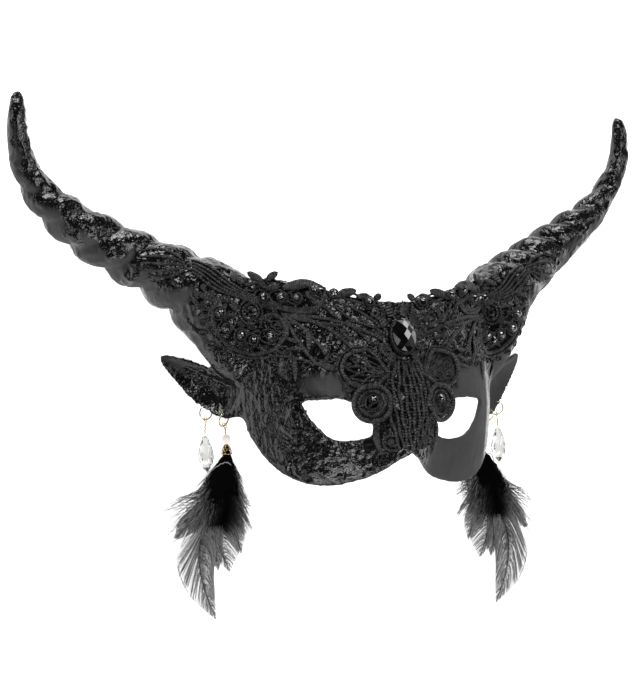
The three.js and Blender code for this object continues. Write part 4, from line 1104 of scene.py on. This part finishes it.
def half_lace(lace, side):
    """One half of the applique, mirrored by its side."""
    flip = np.array((side, 1))

    def at(place):
        return np.array(place) * flip

    def bowed(start, end, bend):
        return arc(at(start), at(end), bend * side)

    def cord(points, *args, **kwargs):
        lace.cord(through(at(points)), *args, **kwargs)

    lace.scroll(*at(HOOK), *HOOK_SCROLL, side, HOOK_CORD)
    for n, tip in enumerate(FAN_TIPS):
        root = np.array(HOOK) + FAN_ROOT - (0, FAN_SPREAD * n)
        lace.cord(bowed(root, tip, FAN_BOW * (1 - n / 2)), *FAN_CORD, fan_shape)
    for share in np.linspace(0, 1, LONG_CORDS):
        cord(np.array(LONG_CORDS_TOP) * (1 - share) + np.array(LONG_CORDS_BOTTOM) * share, LONG_CORD)
    for shift in SWOOP_SHIFTS:
        growing = np.linspace(SWOOP_START, 1, len(SWOOP))
        cord(np.array(SWOOP) + np.outer(growing, np.array(SWOOP_WAY) * shift), SWOOP_CORD)
    cord(PAISLEY, BAND, PAISLEY_RISE)
    cord(np.array(PAISLEY) * PAISLEY_LINING[0] + PAISLEY_LINING[1], PAISLEY_LINING_CORD)
    cord(PAISLEY_INNER, PAISLEY_INNER_CORD)
    for radius in FLOWER_RINGS:
        lace.ring(*at(INNER_FLOWER), 2 * radius, 2 * radius)
    for angle in full_turn(FLOWER_PADS):
        centre = np.array(INNER_FLOWER) + FLOWER_REACH * np.array((math.cos(angle), math.sin(angle)))
        lace.pad(*at(centre), *FLOWER_PAD, angle * side)
    for x, y, bend in STEM_ENDS:
        lace.cord(bowed(STEM_ROOT, (x, y), bend), *STEM_CORD)
    for x0, y0, x1, y1, width, bend in LONG_PETALS:
        lace.open_leaf(at((x0, y0)), at((x1, y1)), width, bend * side)
    for x, y, angle in GEM_PETALS:
        lace.pad(*at((x, y)), *GEM_PETAL, angle if side > 0 else math.pi - angle, GEM_PETAL_RISE)

    for radius, thread, lift in WING_CORDS:
        rim = [wing_rim(degrees, radius) for degrees in WING_DEGREES]
        cord([WING_ROOT, *rim, WING_ROOT], thread, lift=lift)
    for degrees in WING_VEINS:
        lace.open_leaf(at(WING_ROOT), at(wing_rim(degrees, WING_RADIUS - WING_VEIN_GAP)), WING_VEIN_WIDTH)
    for radius, thread, lift in LOW_SCROLL_RINGS:
        lace.ring(*at(LOW_SCROLL), 2 * radius, 2 * radius, thread, lift=lift)
    lace.scroll(*at(SMALL_SCROLL), *SMALL_SCROLL_TURN, side, SMALL_SCROLL_CORD)
    for base, tip, width, bend in SIDE_LEAVES:
        lace.leaf(at(base), at(tip), width, bend * side)

    for base, tip, width in TOP_LEAVES:
        path = bowed(base, tip, 0)
        lace.cord(path, width, TOP_LEAF_RISE, round_shape, TOP_LIFT, sides=PADDED_SIDES, rib=TOP_LEAF_RIB)
    path = bowed(*HUMP)
    lace.cord(path, HUMP_WIDTH, HUMP_RISE, leaf_shape, TOP_LIFT, sides=HUMP_SIDES, rib=HUMP_RIB)
    for place in STONE_RINGS:
        lace.ring(*at(place), STONE_RING, STONE_RING, STONE_RING_CORD, lift=STONE_RING_LIFT)
    for place in OUTER_PICOTS:
        lace.ring(*at(place), *PICOT, FINE_CORD)
    cord(np.array(OUTER_PICOTS) + PICOT_EDGE, PICOT_EDGE_CORD)
    for x, y in EDGE_LEAVES:
        base, tip = (at((x, y + run)) for run in EDGE_LEAF_RUN)
        lace.leaf(base, tip, EDGE_LEAF, EDGE_LEAF_BEND)


def peplum(lace):
    """The fan of cords from under the gem, over the nose bridge to a point."""
    for column in PEPLUM_CORDS:
        for side in (-1, 1) if column[0] else (1,):
            path = through([(side * x, y) for x, y in zip(column, PEPLUM_LEVELS)])
            path[:, 0] += PEPLUM_WAVE * np.sin(path[:, 1] / PEPLUM_WAVE_PITCH + column[1] * side)
            lace.cord(path, *PEPLUM_CORD)
    for y in PEPLUM_BARS:
        reach = BAR_REACH - BAR_NARROWS * past(-y, *BAR_NARROWS_FROM)
        lace.cord(arc((-reach, y + BAR_RUN), (reach, y + BAR_RUN), BAR_BEND), FINE_CORD, BAR_RISE)


def inside(value, limits):
    return limits[0] < value < limits[1]


def filler(lace):
    """Ringlets, leaflets, knots and bars that close the openwork between the motifs."""
    tree = KDTree(len(lace.trail))
    for n, (x, y) in enumerate(lace.trail):
        tree.insert((x, y, 0), n)
    tree.balance()
    for x in np.arange(2 - LACE_REACH, LACE_REACH - 2, FILLER_PITCH):
        low, high = smooth_through(LACE_LOWER, abs(x)) + 1, smooth_through(LACE_UPPER, abs(x)) - 0.5
        for y in np.arange(low, high, FILLER_PITCH):
            place = np.array([value + random.uniform(-FILLER_SCATTER, FILLER_SCATTER) for value in (x, y)])
            near, _, gap = tree.find((*place, 0))
            over_eye = abs(x) > EYES_FROM and place[1] < EYES_UNDER
            at_stems = inside(abs(x), STEMS_ACROSS) and inside(place[1], STEMS_DOWN)
            spared = at_stems and random.random() < STEMS_SPARED
            at_gem = math.hypot(place[0], place[1] * GEM_CLEARANCE_SQUASH) < GEM_CLEARANCE
            if gap < FILLER_GAP or over_eye or spared or at_gem:
                continue
            angle = math.atan2(place[1] + FILLER_CENTRE, place[0]) + random.uniform(-FILLER_TURN, FILLER_TURN)
            kind = random.random()
            size = min(FILLER_LARGEST, gap)
            if kind < RINGLETS:
                lace.ring(*place, RINGLET[0] * size, RINGLET[1] * size, FINE_CORD, angle, lift=0)
            elif kind < LEAFLETS:
                half = np.array((math.cos(angle), math.sin(angle))) * random.uniform(*LEAFLET_HALF) * size
                path = arc(place - half, place + half, random.uniform(-FILLER_BEND, FILLER_BEND))
                lace.cord(path, *LEAFLET, leaf_shape, LEAFLET_LIFT, keep=False)
            else:
                lace.pad(*place, KNOT[0] * size, KNOT[1] * size, angle, KNOT_RISE)
            bar = arc(place, near[:2], random.uniform(-FILLER_BEND, FILLER_BEND))
            lace.cord(bar, FILLER_BAR, keep=False)


# Stones


def around(turn, first, second):
    """Directions at each turn round an axis, in the plane of two others."""
    return np.outer(np.cos(turn), first) + np.outer(np.sin(turn), second)


def full_turn(steps, phase=0.0):
    return (np.arange(steps) + phase) * 2 * math.pi / steps


def stone_frame(node):
    """Middle, sideways, upward and outward directions and depth of a cut stone's solid, in metres."""
    points = read(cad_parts[node].data.vertices, "co", 3)
    middle = (points.min(0) + points.max(0)) / 2
    _, _, ways = np.linalg.svd(points - points.mean(0), full_matrices=False)
    out = ways[2] * np.sign(ways[2] @ turned_to_table((0, 0, 1))[0])
    reach = (points - middle) @ out
    side_way = unit(np.cross(turned_to_table((0, 1, 0))[0], out))
    return middle, side_way, np.cross(out, side_way), out, reach.min(), reach.max()


def cut_stone(name, node, material):
    """A stone with a girdle and kite-shaped crown facets that meet at a point."""
    middle, side_way, up_way, out, low, high = stone_frame(node)
    rings = []
    for scale, level, phase in STONE_LEVELS:
        flat = around(full_turn(STONE_SIDES, phase), side_way, up_way) * STONE_SIZE / 2 * scale * MM
        rings.append(middle + flat + out * (low + (high - low) * level))
    rings.append([middle + out * high])
    soup = Soup()
    soup.facets(np.concatenate(rings), kite_faces(len(STONE_LEVELS), STONE_SIDES))
    return piece(soup.build(name, material, smooth=False), "black_stone", node)


def kite_faces(rings, sides):
    """A flat back, a girdle, then kites that lap each ring, up to one point."""

    def at(ring, place):
        return ring * sides + place % sides

    faces = [list(range(sides))[::-1]]
    for ring in (0, 1):
        faces += [[at(ring, j), at(ring, j + 1), at(ring + 1, j + 1), at(ring + 1, j)] for j in range(sides)]
    faces += [[at(2, j), at(2, j + 1), at(3, j)] for j in range(sides)]
    for ring in range(3, rings - 1):
        if ring % 2:
            faces += [[at(ring - 1, j), at(ring, j), at(ring + 1, j), at(ring, j - 1)] for j in range(sides)]
        else:
            faces += [[at(ring - 1, j), at(ring, j + 1), at(ring + 1, j), at(ring, j)] for j in range(sides)]
    last = rings - 1
    faces += [[at(last - 1, j), at(last, j), rings * sides, at(last, j - 1)] for j in range(sides)]
    return faces


def checker_gem(name, node, material):
    """A domed oval stone cut in a chequer of kites, with a plain girdle and back."""
    middle, side_way, up_way, out, low, high = stone_frame(node)
    side_reach, up_reach = side_way * GEM_SIZE[0] / 2 * MM, up_way * GEM_SIZE[1] / 2 * MM
    girdle = low + (high - low) * GEM_GIRDLE
    span = int(1 / KITE) + 2
    pick = random.Random(GEM_SEED)
    tilts = 4 * span + 5
    rows, columns = ([pick.uniform(-GEM_TILT, GEM_TILT) * MM for _ in range(tilts)] for _ in range(2))

    def lattice(i, j):
        return KITE * (i + KITE_OFFSET[0]), KITE * (j + KITE_OFFSET[1])

    def on_dome(i, j):
        """A lattice corner; heights that add up by row and by column keep each kite flat."""
        u, v = lattice(i, j)
        reach = math.hypot(u, v)
        tilt = (rows[i + j + 2 * span + 2] + columns[i - j + 2 * span + 2]) * (reach < 1)
        if reach > 1:
            u, v, reach = u / reach, v / reach, 1
        rise = girdle + (high - girdle) * (1 - reach**2) + tilt
        return middle + side_reach * u + up_reach * v + out * rise

    # Painted highlights and reflections: these facets get a lighter base colour that stands in for light they
    # flash.
    painted_flashes = dict.fromkeys(PAINTED_HIGHLIGHT_KITES, PAINTED_HIGHLIGHT_SHADE)
    painted_flashes.update(dict.fromkeys(PAINTED_GLINT_KITES, PAINTED_GLINT_SHADE))
    painted_flashes.update(dict.fromkeys(PAINTED_REFLECTION_KITES, PAINTED_REFLECTION_SHADE))
    soup = Soup()
    for i in range(-span, span + 1):
        for j in range(-span, span + 1):
            corners = ((i - 1, j), (i, j - 1), (i + 1, j), (i, j + 1))
            nearest = min(math.hypot(*lattice(*corner)) for corner in corners)
            if (i + j) % 2 == 0 and nearest < 1:
                a, b, c, d = (on_dome(*corner) for corner in corners)
                soup.grid(((a, b), (d, c)), shade=painted_flashes.get((i, j), 0.0))
    oval = around(full_turn(GEM_STEPS), side_reach, up_reach)
    levels = ((GEM_BACK, low), (1.0, girdle - GEM_EDGE * MM), (1.0, girdle), (GEM_RIM, girdle))
    soup.grid([middle + oval * scale + out * level for scale, level in levels], wrap=True, caps=True)
    return piece(soup.build(name, material, smooth=False), "black_stone", node)


def socket(soup, node, width, height, depth):
    """The stitched cup that holds a stone."""
    middle, side_way, up_way, out, low, _ = stone_frame(node)
    profile = (*SOCKET_PROFILE, *((outwards, -depth) for outwards in SOCKET_BACK))
    steps = max(SOCKET_STEPS, int(math.pi * width / SOCKET_PITCH))
    rings = []
    for turn in full_turn(steps):
        knot = 1 + SOCKET_KNOT * math.sin(turn * steps / KNOT_STEPS)
        ring = []
        for outwards, up in profile:
            sideways = math.cos(turn) * (width / 2 + outwards * knot)
            upwards = math.sin(turn) * (height / 2 + outwards * knot)
            ring.append(middle + (side_way * sideways + up_way * upwards + out * up) * MM + out * low)
        rings.append(ring)
    rings.append(rings[0])
    along = np.linspace(0, math.pi * width, len(rings))
    soup.grid(np.array(rings)[:, ::-1], along, wrap=True)


# Earrings


def to_metres(points):
    return (np.asarray(points, float) + PART_SHIFT) * MM


def crosswise(way):
    """Two directions square to a way and to each other."""
    first = unit(np.cross(way, ASIDE))
    return first, np.cross(way, first)


def wire_tube(soup, path, radius, sides=12, closed=False, shade=0.0):
    """A round wire on a path in the table's frame."""
    path = np.asarray(path, float)
    ways = unit(np.roll(path, -1, 0) - np.roll(path, 1, 0)) if closed else unit(np.gradient(path, axis=0))
    first = unit(np.cross(ways[0], SKEW))
    rings = []
    for place, way, reach in zip(path, ways, np.broadcast_to(radius, len(path))):
        first = unit(first - way * (first @ way))
        rings.append(place + reach * around(full_turn(sides), first, np.cross(way, first)))
    if closed:
        rings.append(rings[0])
    soup.grid(to_metres(np.array(rings)), 0.0, shade, wrap=True, caps=not closed)


def circle(centre, normal, radius, steps=RING_STEPS):
    return centre + radius * around(full_turn(steps), *crosswise(unit(normal)))


def ring_place(side, hole, load, faces):
    """Centre, facing, lowest point, hanging direction and radius of a ring in its ear."""
    pierced = on_table(ear_point(side, *hole))[0] / MM - PART_SHIFT
    down = unit(np.array(load) - pierced)
    normal = unit(np.array(faces) - down * (np.array(faces) @ down))
    radius = (RING_DIAMETER - WIRE) / 2
    centre = pierced + down * radius
    return centre, normal, centre + down * radius, down, radius


def wire_ring(name, node, ring, material, slot):
    centre, normal, _, _, radius = ring
    soup = Soup()
    wire_tube(soup, circle(centre, normal, radius), WIRE / 2, closed=True)
    return piece(soup.build(name, material), slot, node)


def loop_and_shank(name, node, ring, pin, end, material):
    """A wire loop round the ring's lowest point, with its tail wound back round the shank."""
    _, normal, lowest, down, _ = ring
    radius = (pin["loop"] - pin["wire"]) / 2
    soup = Soup()
    wire_tube(soup, circle(lowest, np.cross(normal, down), radius, LOOP_STEPS), pin["wire"] / 2, closed=True)
    way = unit(end - lowest)
    start = lowest + way * radius
    run = way * np.linalg.norm(end - start)
    wire_tube(soup, [start + run * t for t in np.linspace(0, 1, SHANK_STEPS)], SHANK_WIRE)
    first, second = crosswise(way)
    coil = []
    for t in np.linspace(0, 1, COIL_TURNS * COIL_STEPS):
        angle = t * COIL_TURNS * 2 * math.pi
        spoke = first * math.cos(angle) + second * math.sin(angle)
        coil.append(start + run * (COIL_STARTS + COIL_SHARE * t) + COIL_REACH * spoke)
    wire_tube(soup, coil, COIL_WIRE, THIN_SIDES)
    return piece(soup.build(name, material), "gold_wire", node)


def crystal_drop(name, node, top, end, material):
    way = unit(np.array(end) - np.array(top))
    first, second = crosswise(way)
    rings = []
    for n, (radius, along) in enumerate(CRYSTAL_LEVELS):
        spokes = around(full_turn(CRYSTAL_SIDES, (n % 2) / 2), first, second)
        rings.append(np.array(top) + way * along + radius * spokes)
    count = len(rings) * CRYSTAL_SIDES
    faces = [list(range(CRYSTAL_SIDES))[::-1], list(range(count - CRYSTAL_SIDES, count))]
    for i in range(len(rings) - 1):
        for j in range(CRYSTAL_SIDES):
            a, b = i * CRYSTAL_SIDES + j, i * CRYSTAL_SIDES + (j + 1) % CRYSTAL_SIDES
            c, d = a + CRYSTAL_SIDES, b + CRYSTAL_SIDES
            faces += [[a, b, d], [a, d, c]] if i % 2 else [[a, b, c], [b, d, c]]
    soup = Soup()
    soup.facets(to_metres(np.concatenate(rings)), faces)
    return piece(soup.build(name, material, smooth=False), "crystal", node)


def pearl_bead(name, node, centre, way, material):
    """A slightly uneven bead, drilled through along its wire."""
    way = unit(way)
    spokes = around(full_turn(PEARL_SIDES), *crosswise(way))
    rings = []
    for polar in np.linspace(PEARL_HOLE, math.pi - PEARL_HOLE, PEARL_RINGS):
        reach = PEARL_DIAMETER / 2 * (1 + PEARL_WAVE * math.sin(PEARL_WAVES * polar))
        rings.append(centre - way * reach * math.cos(polar) + reach * math.sin(polar) * spokes)
    dimple = way * PEARL_DIAMETER / 2 * PEARL_DIMPLE
    first, last = (centre + shift + (ring - ring.mean(0)) * PEARL_LIP
                   for shift, ring in ((-dimple, rings[0]), (dimple, rings[-1])))
    soup = Soup()
    soup.grid(to_metres([first, *rings, last]), wrap=True, caps=True)
    return piece(soup.build(name, material), "pearl", node)


def filigree_cap(name, node, start, way, gold):
    """Openwork scrolls of wire on a bell shape, with a rim at each end."""
    way = unit(way)
    first, second = crosswise(way)

    def on_bell(along, angle):
        radius = smooth_through([(a, r) for r, a in CAP_PROFILE], along)
        return start + way * along + radius * (first * math.cos(angle) + second * math.sin(angle))

    soup = Soup()
    low, high = CAP_PROFILE[0][1], CAP_PROFILE[-1][1]
    for along in (low + CAP_INSET, high):
        rim = [on_bell(along, angle) for angle in full_turn(CAP_RIM_STEPS)]
        wire_tube(soup, rim, CAP_RIM_WIRE, THIN_SIDES, closed=True)
    for n in range(CAP_PETALS):
        for hand in (-1, 1):
            path = []
            for t in np.linspace(0, 1, CAP_PETAL_STEPS):
                sway = hand * CAP_SWAY * math.sin(t * CAP_TURNS)
                path.append(on_bell(low + (high - low) * t, (n + 0.5) * 2 * math.pi / CAP_PETALS + sway))
            wire_tube(soup, path, CAP_WIRE, THIN_SIDES)
    return piece(soup.build(name, gold), "gold_wire", node)


# Feathers


def core_at(share):
    """Outward place, distance down, height, half width and half thickness of the core."""
    index = np.arange(len(CORE)) / (len(CORE) - 1)
    return [smooth_through(np.stack((index, values), 1), share) for values in np.array(CORE, float).T]


class Bundle:
    """One bunch of feathers, laid on the table below its cap."""

    def __init__(self, side, top, swing):
        self.side, self.top, self.swing = side, np.array(top, float), -side * swing
        self.soup = Soup()
        self.random = random.Random(BUNDLE_SEED)

    def place(self, local):
        out, down, height = np.asarray(local, float).T
        x, y = self.side * out, -down
        c, s = math.cos(self.swing), math.sin(self.swing)
        return np.stack((x * c - y * s, x * s + y * c, height - self.top[2]), -1) + self.top

    def barb(self, path, width, shades):
        """A flat tapering strand along a path of local places."""
        path = self.place(path)
        ways = unit(np.gradient(path, axis=0))
        across = unit(np.cross(ways, (0, 0, 1)))
        taper = np.linspace(1, BARB_TIP, len(path))[:, None] * width / 2
        strip = np.stack((path - across * taper, path + across * taper), 1)
        strip[..., 2] = np.maximum(strip[..., 2], LOWEST_BARB)
        if self.side > 0:
            strip = strip[:, ::-1]
        root, tip = shades
        self.soup.grid(to_metres(strip), 0.0, root + (tip - root) * np.linspace(0, 1, len(path)) ** 2)

    def core(self):
        """The dense fluff round the quills."""
        turn = full_turn(CORE_SIDES)
        rings = []
        for n, (out, down, height, half, thick) in enumerate(zip(*core_at(np.linspace(0, 1, CORE_RINGS)))):
            spots = RUFFLE_ROUND * np.stack((np.cos(turn), np.sin(turn)), 1)
            ruffle = 1 + CORE_RUFFLE * np.array([noise.noise((x, y, n * RUFFLE_DOWN)) for x, y in spots])
            sideways = out + half * CORE_SLIMMING * np.cos(turn) * ruffle
            rise = np.maximum(height + thick * np.sin(turn) * ruffle, LOWEST_CORE)
            rings.append(self.place(np.stack((sideways, np.full(CORE_SIDES, down), rise), 1)))
        self.soup.grid(to_metres(np.array(rings)[:, :: self.side]), wrap=True, caps=True)

    def fluff(self):
        """Strands that stand out of the core, black at the root and grey where they thin out."""
        pick = self.random
        share = np.linspace(0, 1, FLUFF_STEPS)[:, None]
        for _ in range(FLUFF_STRANDS):
            t = pick.uniform(*FLUFF_ALONG)
            out, down, height, half, thick = core_at(t)
            turn = pick.uniform(FLUFF_TURN[0] * math.pi, FLUFF_TURN[1] * math.pi)
            sideways, rise = math.cos(turn), math.sin(turn)
            outer = sideways > 0
            root = out + sideways * half * FLUFF_ROOT[0]
            start = np.array((root, down, height + rise * thick * FLUFF_ROOT[1]))
            longest = FLUFF_LONGEST[outer] * math.sin(math.pi * min(t * FLUFF_TIP, 1)) ** FLUFF_TIP_POWER
            reach = half * 0.5 + FLUFF_SHORT + longest * pick.random() ** FLUFF_SHORT_POWER
            reach *= 0.5 + 0.5 * abs(sideways)
            run = pick.uniform(*FLUFF_SLANT[outer]) * reach + FLUFF_RUN
            end = start + (sideways * reach, run, rise * thick * FLUFF_FLATTENS - FLUFF_SINKS * run)
            droop = np.array((0, -FLUFF_SAG * reach, 1)) * pick.uniform(*FLUFF_DROOPS) * FLUFF_DROOP
            path = start + (end - start) * share + droop * share * (1 - share)
            width = pick.uniform(*FLUFF_WIDTHS)
            self.barb(path, width, (0.0, pick.uniform(*FLUFF_SHADES) * abs(sideways) ** FLUFF_SHADE_POWER))

    def feather(self, shaft, outer, inner):
        """A shaft with a vane of fine barbs that reach to each edge."""
        length = sum(np.linalg.norm(np.subtract(b, a)) for a, b in zip(shaft, shaft[1:]))
        count = int(length / BARB_PITCH)
        spine = np.array([centripetal(shaft, t) for t in np.linspace(0, 1, count)])
        radius, shade = np.linspace(*SHAFT_RADIUS, count), np.full(count, SHAFT_SHADE)
        wire_tube(self.soup, self.place(spine), radius, SHAFT_SIDES, shade=shade)
        ways = unit(np.gradient(spine, axis=0))
        share = np.linspace(0, 1, BARB_STEPS)[:, None]
        bulge = np.sin(share * math.pi)
        pick = self.random
        for sign, edge in enumerate((outer, inner)):
            for n, t in enumerate(np.linspace(0, 1, count)):
                wave = VANE_WAVE * noise.noise((n * VANE_WAVE_STEP, sign * VANE_EDGES_APART, length))
                ragged = wave + pick.uniform(-VANE_RAGGED, VANE_RAGGED)
                end = centripetal(edge, min(max(t + BARB_LEAD * (1 - t) + ragged, 0), BARB_LAST))
                run = end - spine[n]
                reach = np.linalg.norm(run)
                bow = run * share - ways[n] * reach * BARB_BOW * bulge
                lift = np.array((0, 0, 1)) * BARB_LIFT * reach * bulge
                dark = pick.random() < DARK_BARBS
                shade = pick.uniform(*(DARK_SHADES if dark else PALE_SHADES))
                path = spine[n] + bow * pick.uniform(*BARB_BOWS) + lift
                self.barb(path, BARB_WIDTH, (shade * BARB_ROOT_SHADE, shade))
            for _ in range(EDGE_STRANDS):
                begin = pick.uniform(*EDGE_BEGIN)
                part = np.linspace(begin, min(begin + pick.uniform(*EDGE_RUN), EDGE_LAST), EDGE_STEPS)
                inset = spine[(part * (count - 1)).astype(int)] * EDGE_INSET
                path = np.array([centripetal(edge, t) for t in part]) * (1 - EDGE_INSET) + inset
                aside = (pick.uniform(-EDGE_SPREAD, EDGE_SPREAD), 0, 0)
                self.barb(path + aside, EDGE_WIDTH, EDGE_SHADES)

    def wisps(self):
        """Loose strands that curl past the edge of the fluff."""
        pick = self.random
        share = np.linspace(0, 1, WISP_STEPS)[:, None]
        across, along = WISP_SPREAD
        (middle, shift), down, height = WISP_ROOT
        inwards, lengthwise, upwards, sag = WISP_SAG
        for tip in WISPS:
            for _ in range(WISP_STRANDS):
                end = np.array(tip) + (pick.uniform(-across, across), pick.uniform(-along, along), 0)
                start = np.array((middle + shift * np.sign(tip[0]), pick.uniform(*down), height))
                way = np.array((inwards * (end[0] - start[0]), lengthwise, upwards))
                path = start + (end - start) * share + way * 4 * share * (1 - share) * sag
                self.barb(path, pick.uniform(*WISP_WIDTHS), WISP_SHADES)

    def tie(self):
        """The pale thread bound round the quills."""
        share = np.linspace(0, 1, TIE_STEPS)
        bulge = np.sin(math.pi * share)
        out = TIE_OUT[0] - TIE_OUT[1] * share
        down = TIE_DOWN[0] - TIE_DOWN[1] * bulge + TIE_RIPPLE[0] * np.sin(share * TIE_RIPPLE[1])
        path = self.place(np.stack((out, down, TIE_HEIGHT[0] + TIE_HEIGHT[1] * bulge), 1))
        wire_tube(self.soup, path, TIE_THREAD, TIE_SIDES, shade=TIE_SHADE)

    def build(self, name, material, node):
        self.core()
        self.fluff()
        for feather in FEATHERS:
            self.feather(**feather)
        self.wisps()
        self.tie()
        return piece(self.soup.build(name, material), "feather", node)


def earring(name, side, materials):
    """One ear's pair: a crystal drop on a silver ring, and feathers under a pearl on a gold ring."""
    facts = EARRINGS[name]
    gold_wire, silver_wire = materials["gold_wire"], materials["silver_wire"]
    crystal_top, pearl = np.array(facts["crystal_top"]), np.array(facts["pearl"])
    silver = ring_place(side, SILVER_HOLE, crystal_top, facts["silver_faces"])
    gold = ring_place(side, GOLD_HOLE, pearl, facts["gold_faces"])
    bail_end = crystal_top - silver[3] * TOUCH
    pin_end = pearl - gold[3] * (PEARL_DIAMETER / 2 + TOUCH)
    wire_ring(f"silver_hoop_{name}", f"silver_ring_{name}", silver, silver_wire, "silver_wire")
    wire_ring(f"gold_hoop_{name}", f"gold_ring_{name}", gold, gold_wire, "gold_wire")
    loop_and_shank(f"bail_{name}", f"crystal_bail_{name}", silver, BAIL, bail_end, gold_wire)
    loop_and_shank(f"pin_{name}", f"eye_pin_{name}", gold, EYE_PIN, pin_end, gold_wire)
    crystal_end, crystal = facts["crystal_end"], materials["crystal"]
    crystal_drop(f"cut_drop_{name}", f"crystal_drop_{name}", crystal_top, crystal_end, crystal)
    pearl_bead(f"bead_{name}", f"pearl_{name}", pearl, gold[3], materials["pearl"])
    cap_way = unit(np.array(facts["bundle_top"]) - pearl)
    cap_start = pearl + cap_way * (PEARL_DIAMETER / 2 + TOUCH)
    filigree_cap(f"openwork_cap_{name}", f"filigree_cap_{name}", cap_start, cap_way, gold_wire)
    bundle = Bundle(side, facts["bundle_top"], facts["swing"])
    quills = [cap_start + cap_way * along for along in np.linspace(*QUILLS_ALONG, QUILL_STEPS)]
    wire_tube(bundle.soup, quills, np.linspace(*QUILLS_RADIUS, QUILL_STEPS), QUILL_SIDES)
    bundle.build(f"feathers_{name}", materials["feather"], f"feather_bundle_{name}")


# Stage


def softbox(name, place, size, power):
    light = bpy.data.lights.new(name, "AREA")
    light.shape = "RECTANGLE"
    light.size, light.size_y = size
    light.energy = power
    obj = link_object(name, light)
    obj.location = place
    obj.rotation_euler = (-Vector(place)).to_track_quat("-Z", "Y").to_euler()


def stage():
    """A pale floor that glows a little, softboxes, and a dim even sky."""
    material, _, _ = new_material("floor", Base_Color=FLOOR_COLOUR, Roughness=FLOOR_ROUGHNESS,
                                  Emission_Color=WHITE, Emission_Strength=FLOOR_GLOW)
    bpy.ops.mesh.primitive_plane_add(size=FLOOR_SIZE)
    floor = bpy.context.object
    floor.name = "floor"
    floor.data.materials.append(material)
    for name, (place, size, power) in SOFTBOXES.items():
        softbox(name, place, size, power)
    world = bpy.data.worlds.new("studio")
    bpy.context.scene.world = world
    world.use_nodes = True
    background = world.node_tree.nodes["Background"]
    background.inputs["Color"].default_value = WHITE
    background.inputs["Strength"].default_value = WORLD_LIGHT
    bpy.context.scene.view_settings.view_transform = "Standard"


def camera():
    """The photograph's view: from the viewer's left, level with the mask's middle."""
    a, e = CAMERA_AZIMUTH, CAMERA_ELEVATION
    back = np.array((-math.sin(a) * math.cos(e), math.sin(e), math.cos(a) * math.cos(e)))
    place = on_table(CAMERA_TARGET + CAMERA_DISTANCE * back)[0]
    right = unit(np.cross(-back, (0, 1, 0)))
    axes = [turned_to_table(way)[0] for way in (right, np.cross(right, -back), back)]
    lens = bpy.data.cameras.new("camera")
    lens.sensor_width = SENSOR
    lens.lens = FOCAL_PIXELS * SENSOR / IMAGE_HEIGHT
    obj = link_object("camera", lens)
    obj.matrix_world = Matrix.Translation(place) @ Matrix(axes).transposed().to_4x4()
    bpy.context.scene.camera = obj


def main():
    camera()
    materials = {
        "shell": shell_material("shell", BARE_GLOSS, BARE_ROUGHNESS),
        "glued_shell": shell_material("glued_shell", GLUED_GLOSS, GLUED_ROUGHNESS),
        "lace": lace_material(),
        "stone": stone_material("black_stone", STONE_REFRACTION),
        "gem": stone_material("black_gem", GEM_REFRACTION),
        "feather": feather_material(),
        **{name: finished_material(name) for name in FINISHES},
    }
    body = mask_body(materials["shell"], materials["glued_shell"])
    lace = Lace(body)
    for _, side in SIDES:
        half_lace(lace, side)
    peplum(lace)
    filler(lace)
    checker_gem("faceted_gem", "centre_gem", materials["gem"])
    socket(lace.soup, "centre_gem", *GEM_SOCKET, GEM_SOCKET_DEPTH)
    for name, _ in SIDES:
        for n in range(1, STONES_A_SIDE + 1):
            node = f"stone_{name}_{n}"
            cut_stone(f"rhinestone_{name}_{n}", node, materials["stone"])
            socket(lace.soup, node, STONE_SIZE, STONE_SIZE, STONE_SOCKET_DEPTH)
    piece(lace.soup.build("guipure_lace", materials["lace"]), "lace", "lace_applique")
    for name, side in SIDES:
        earring(name, side, materials)
    stage()


main()
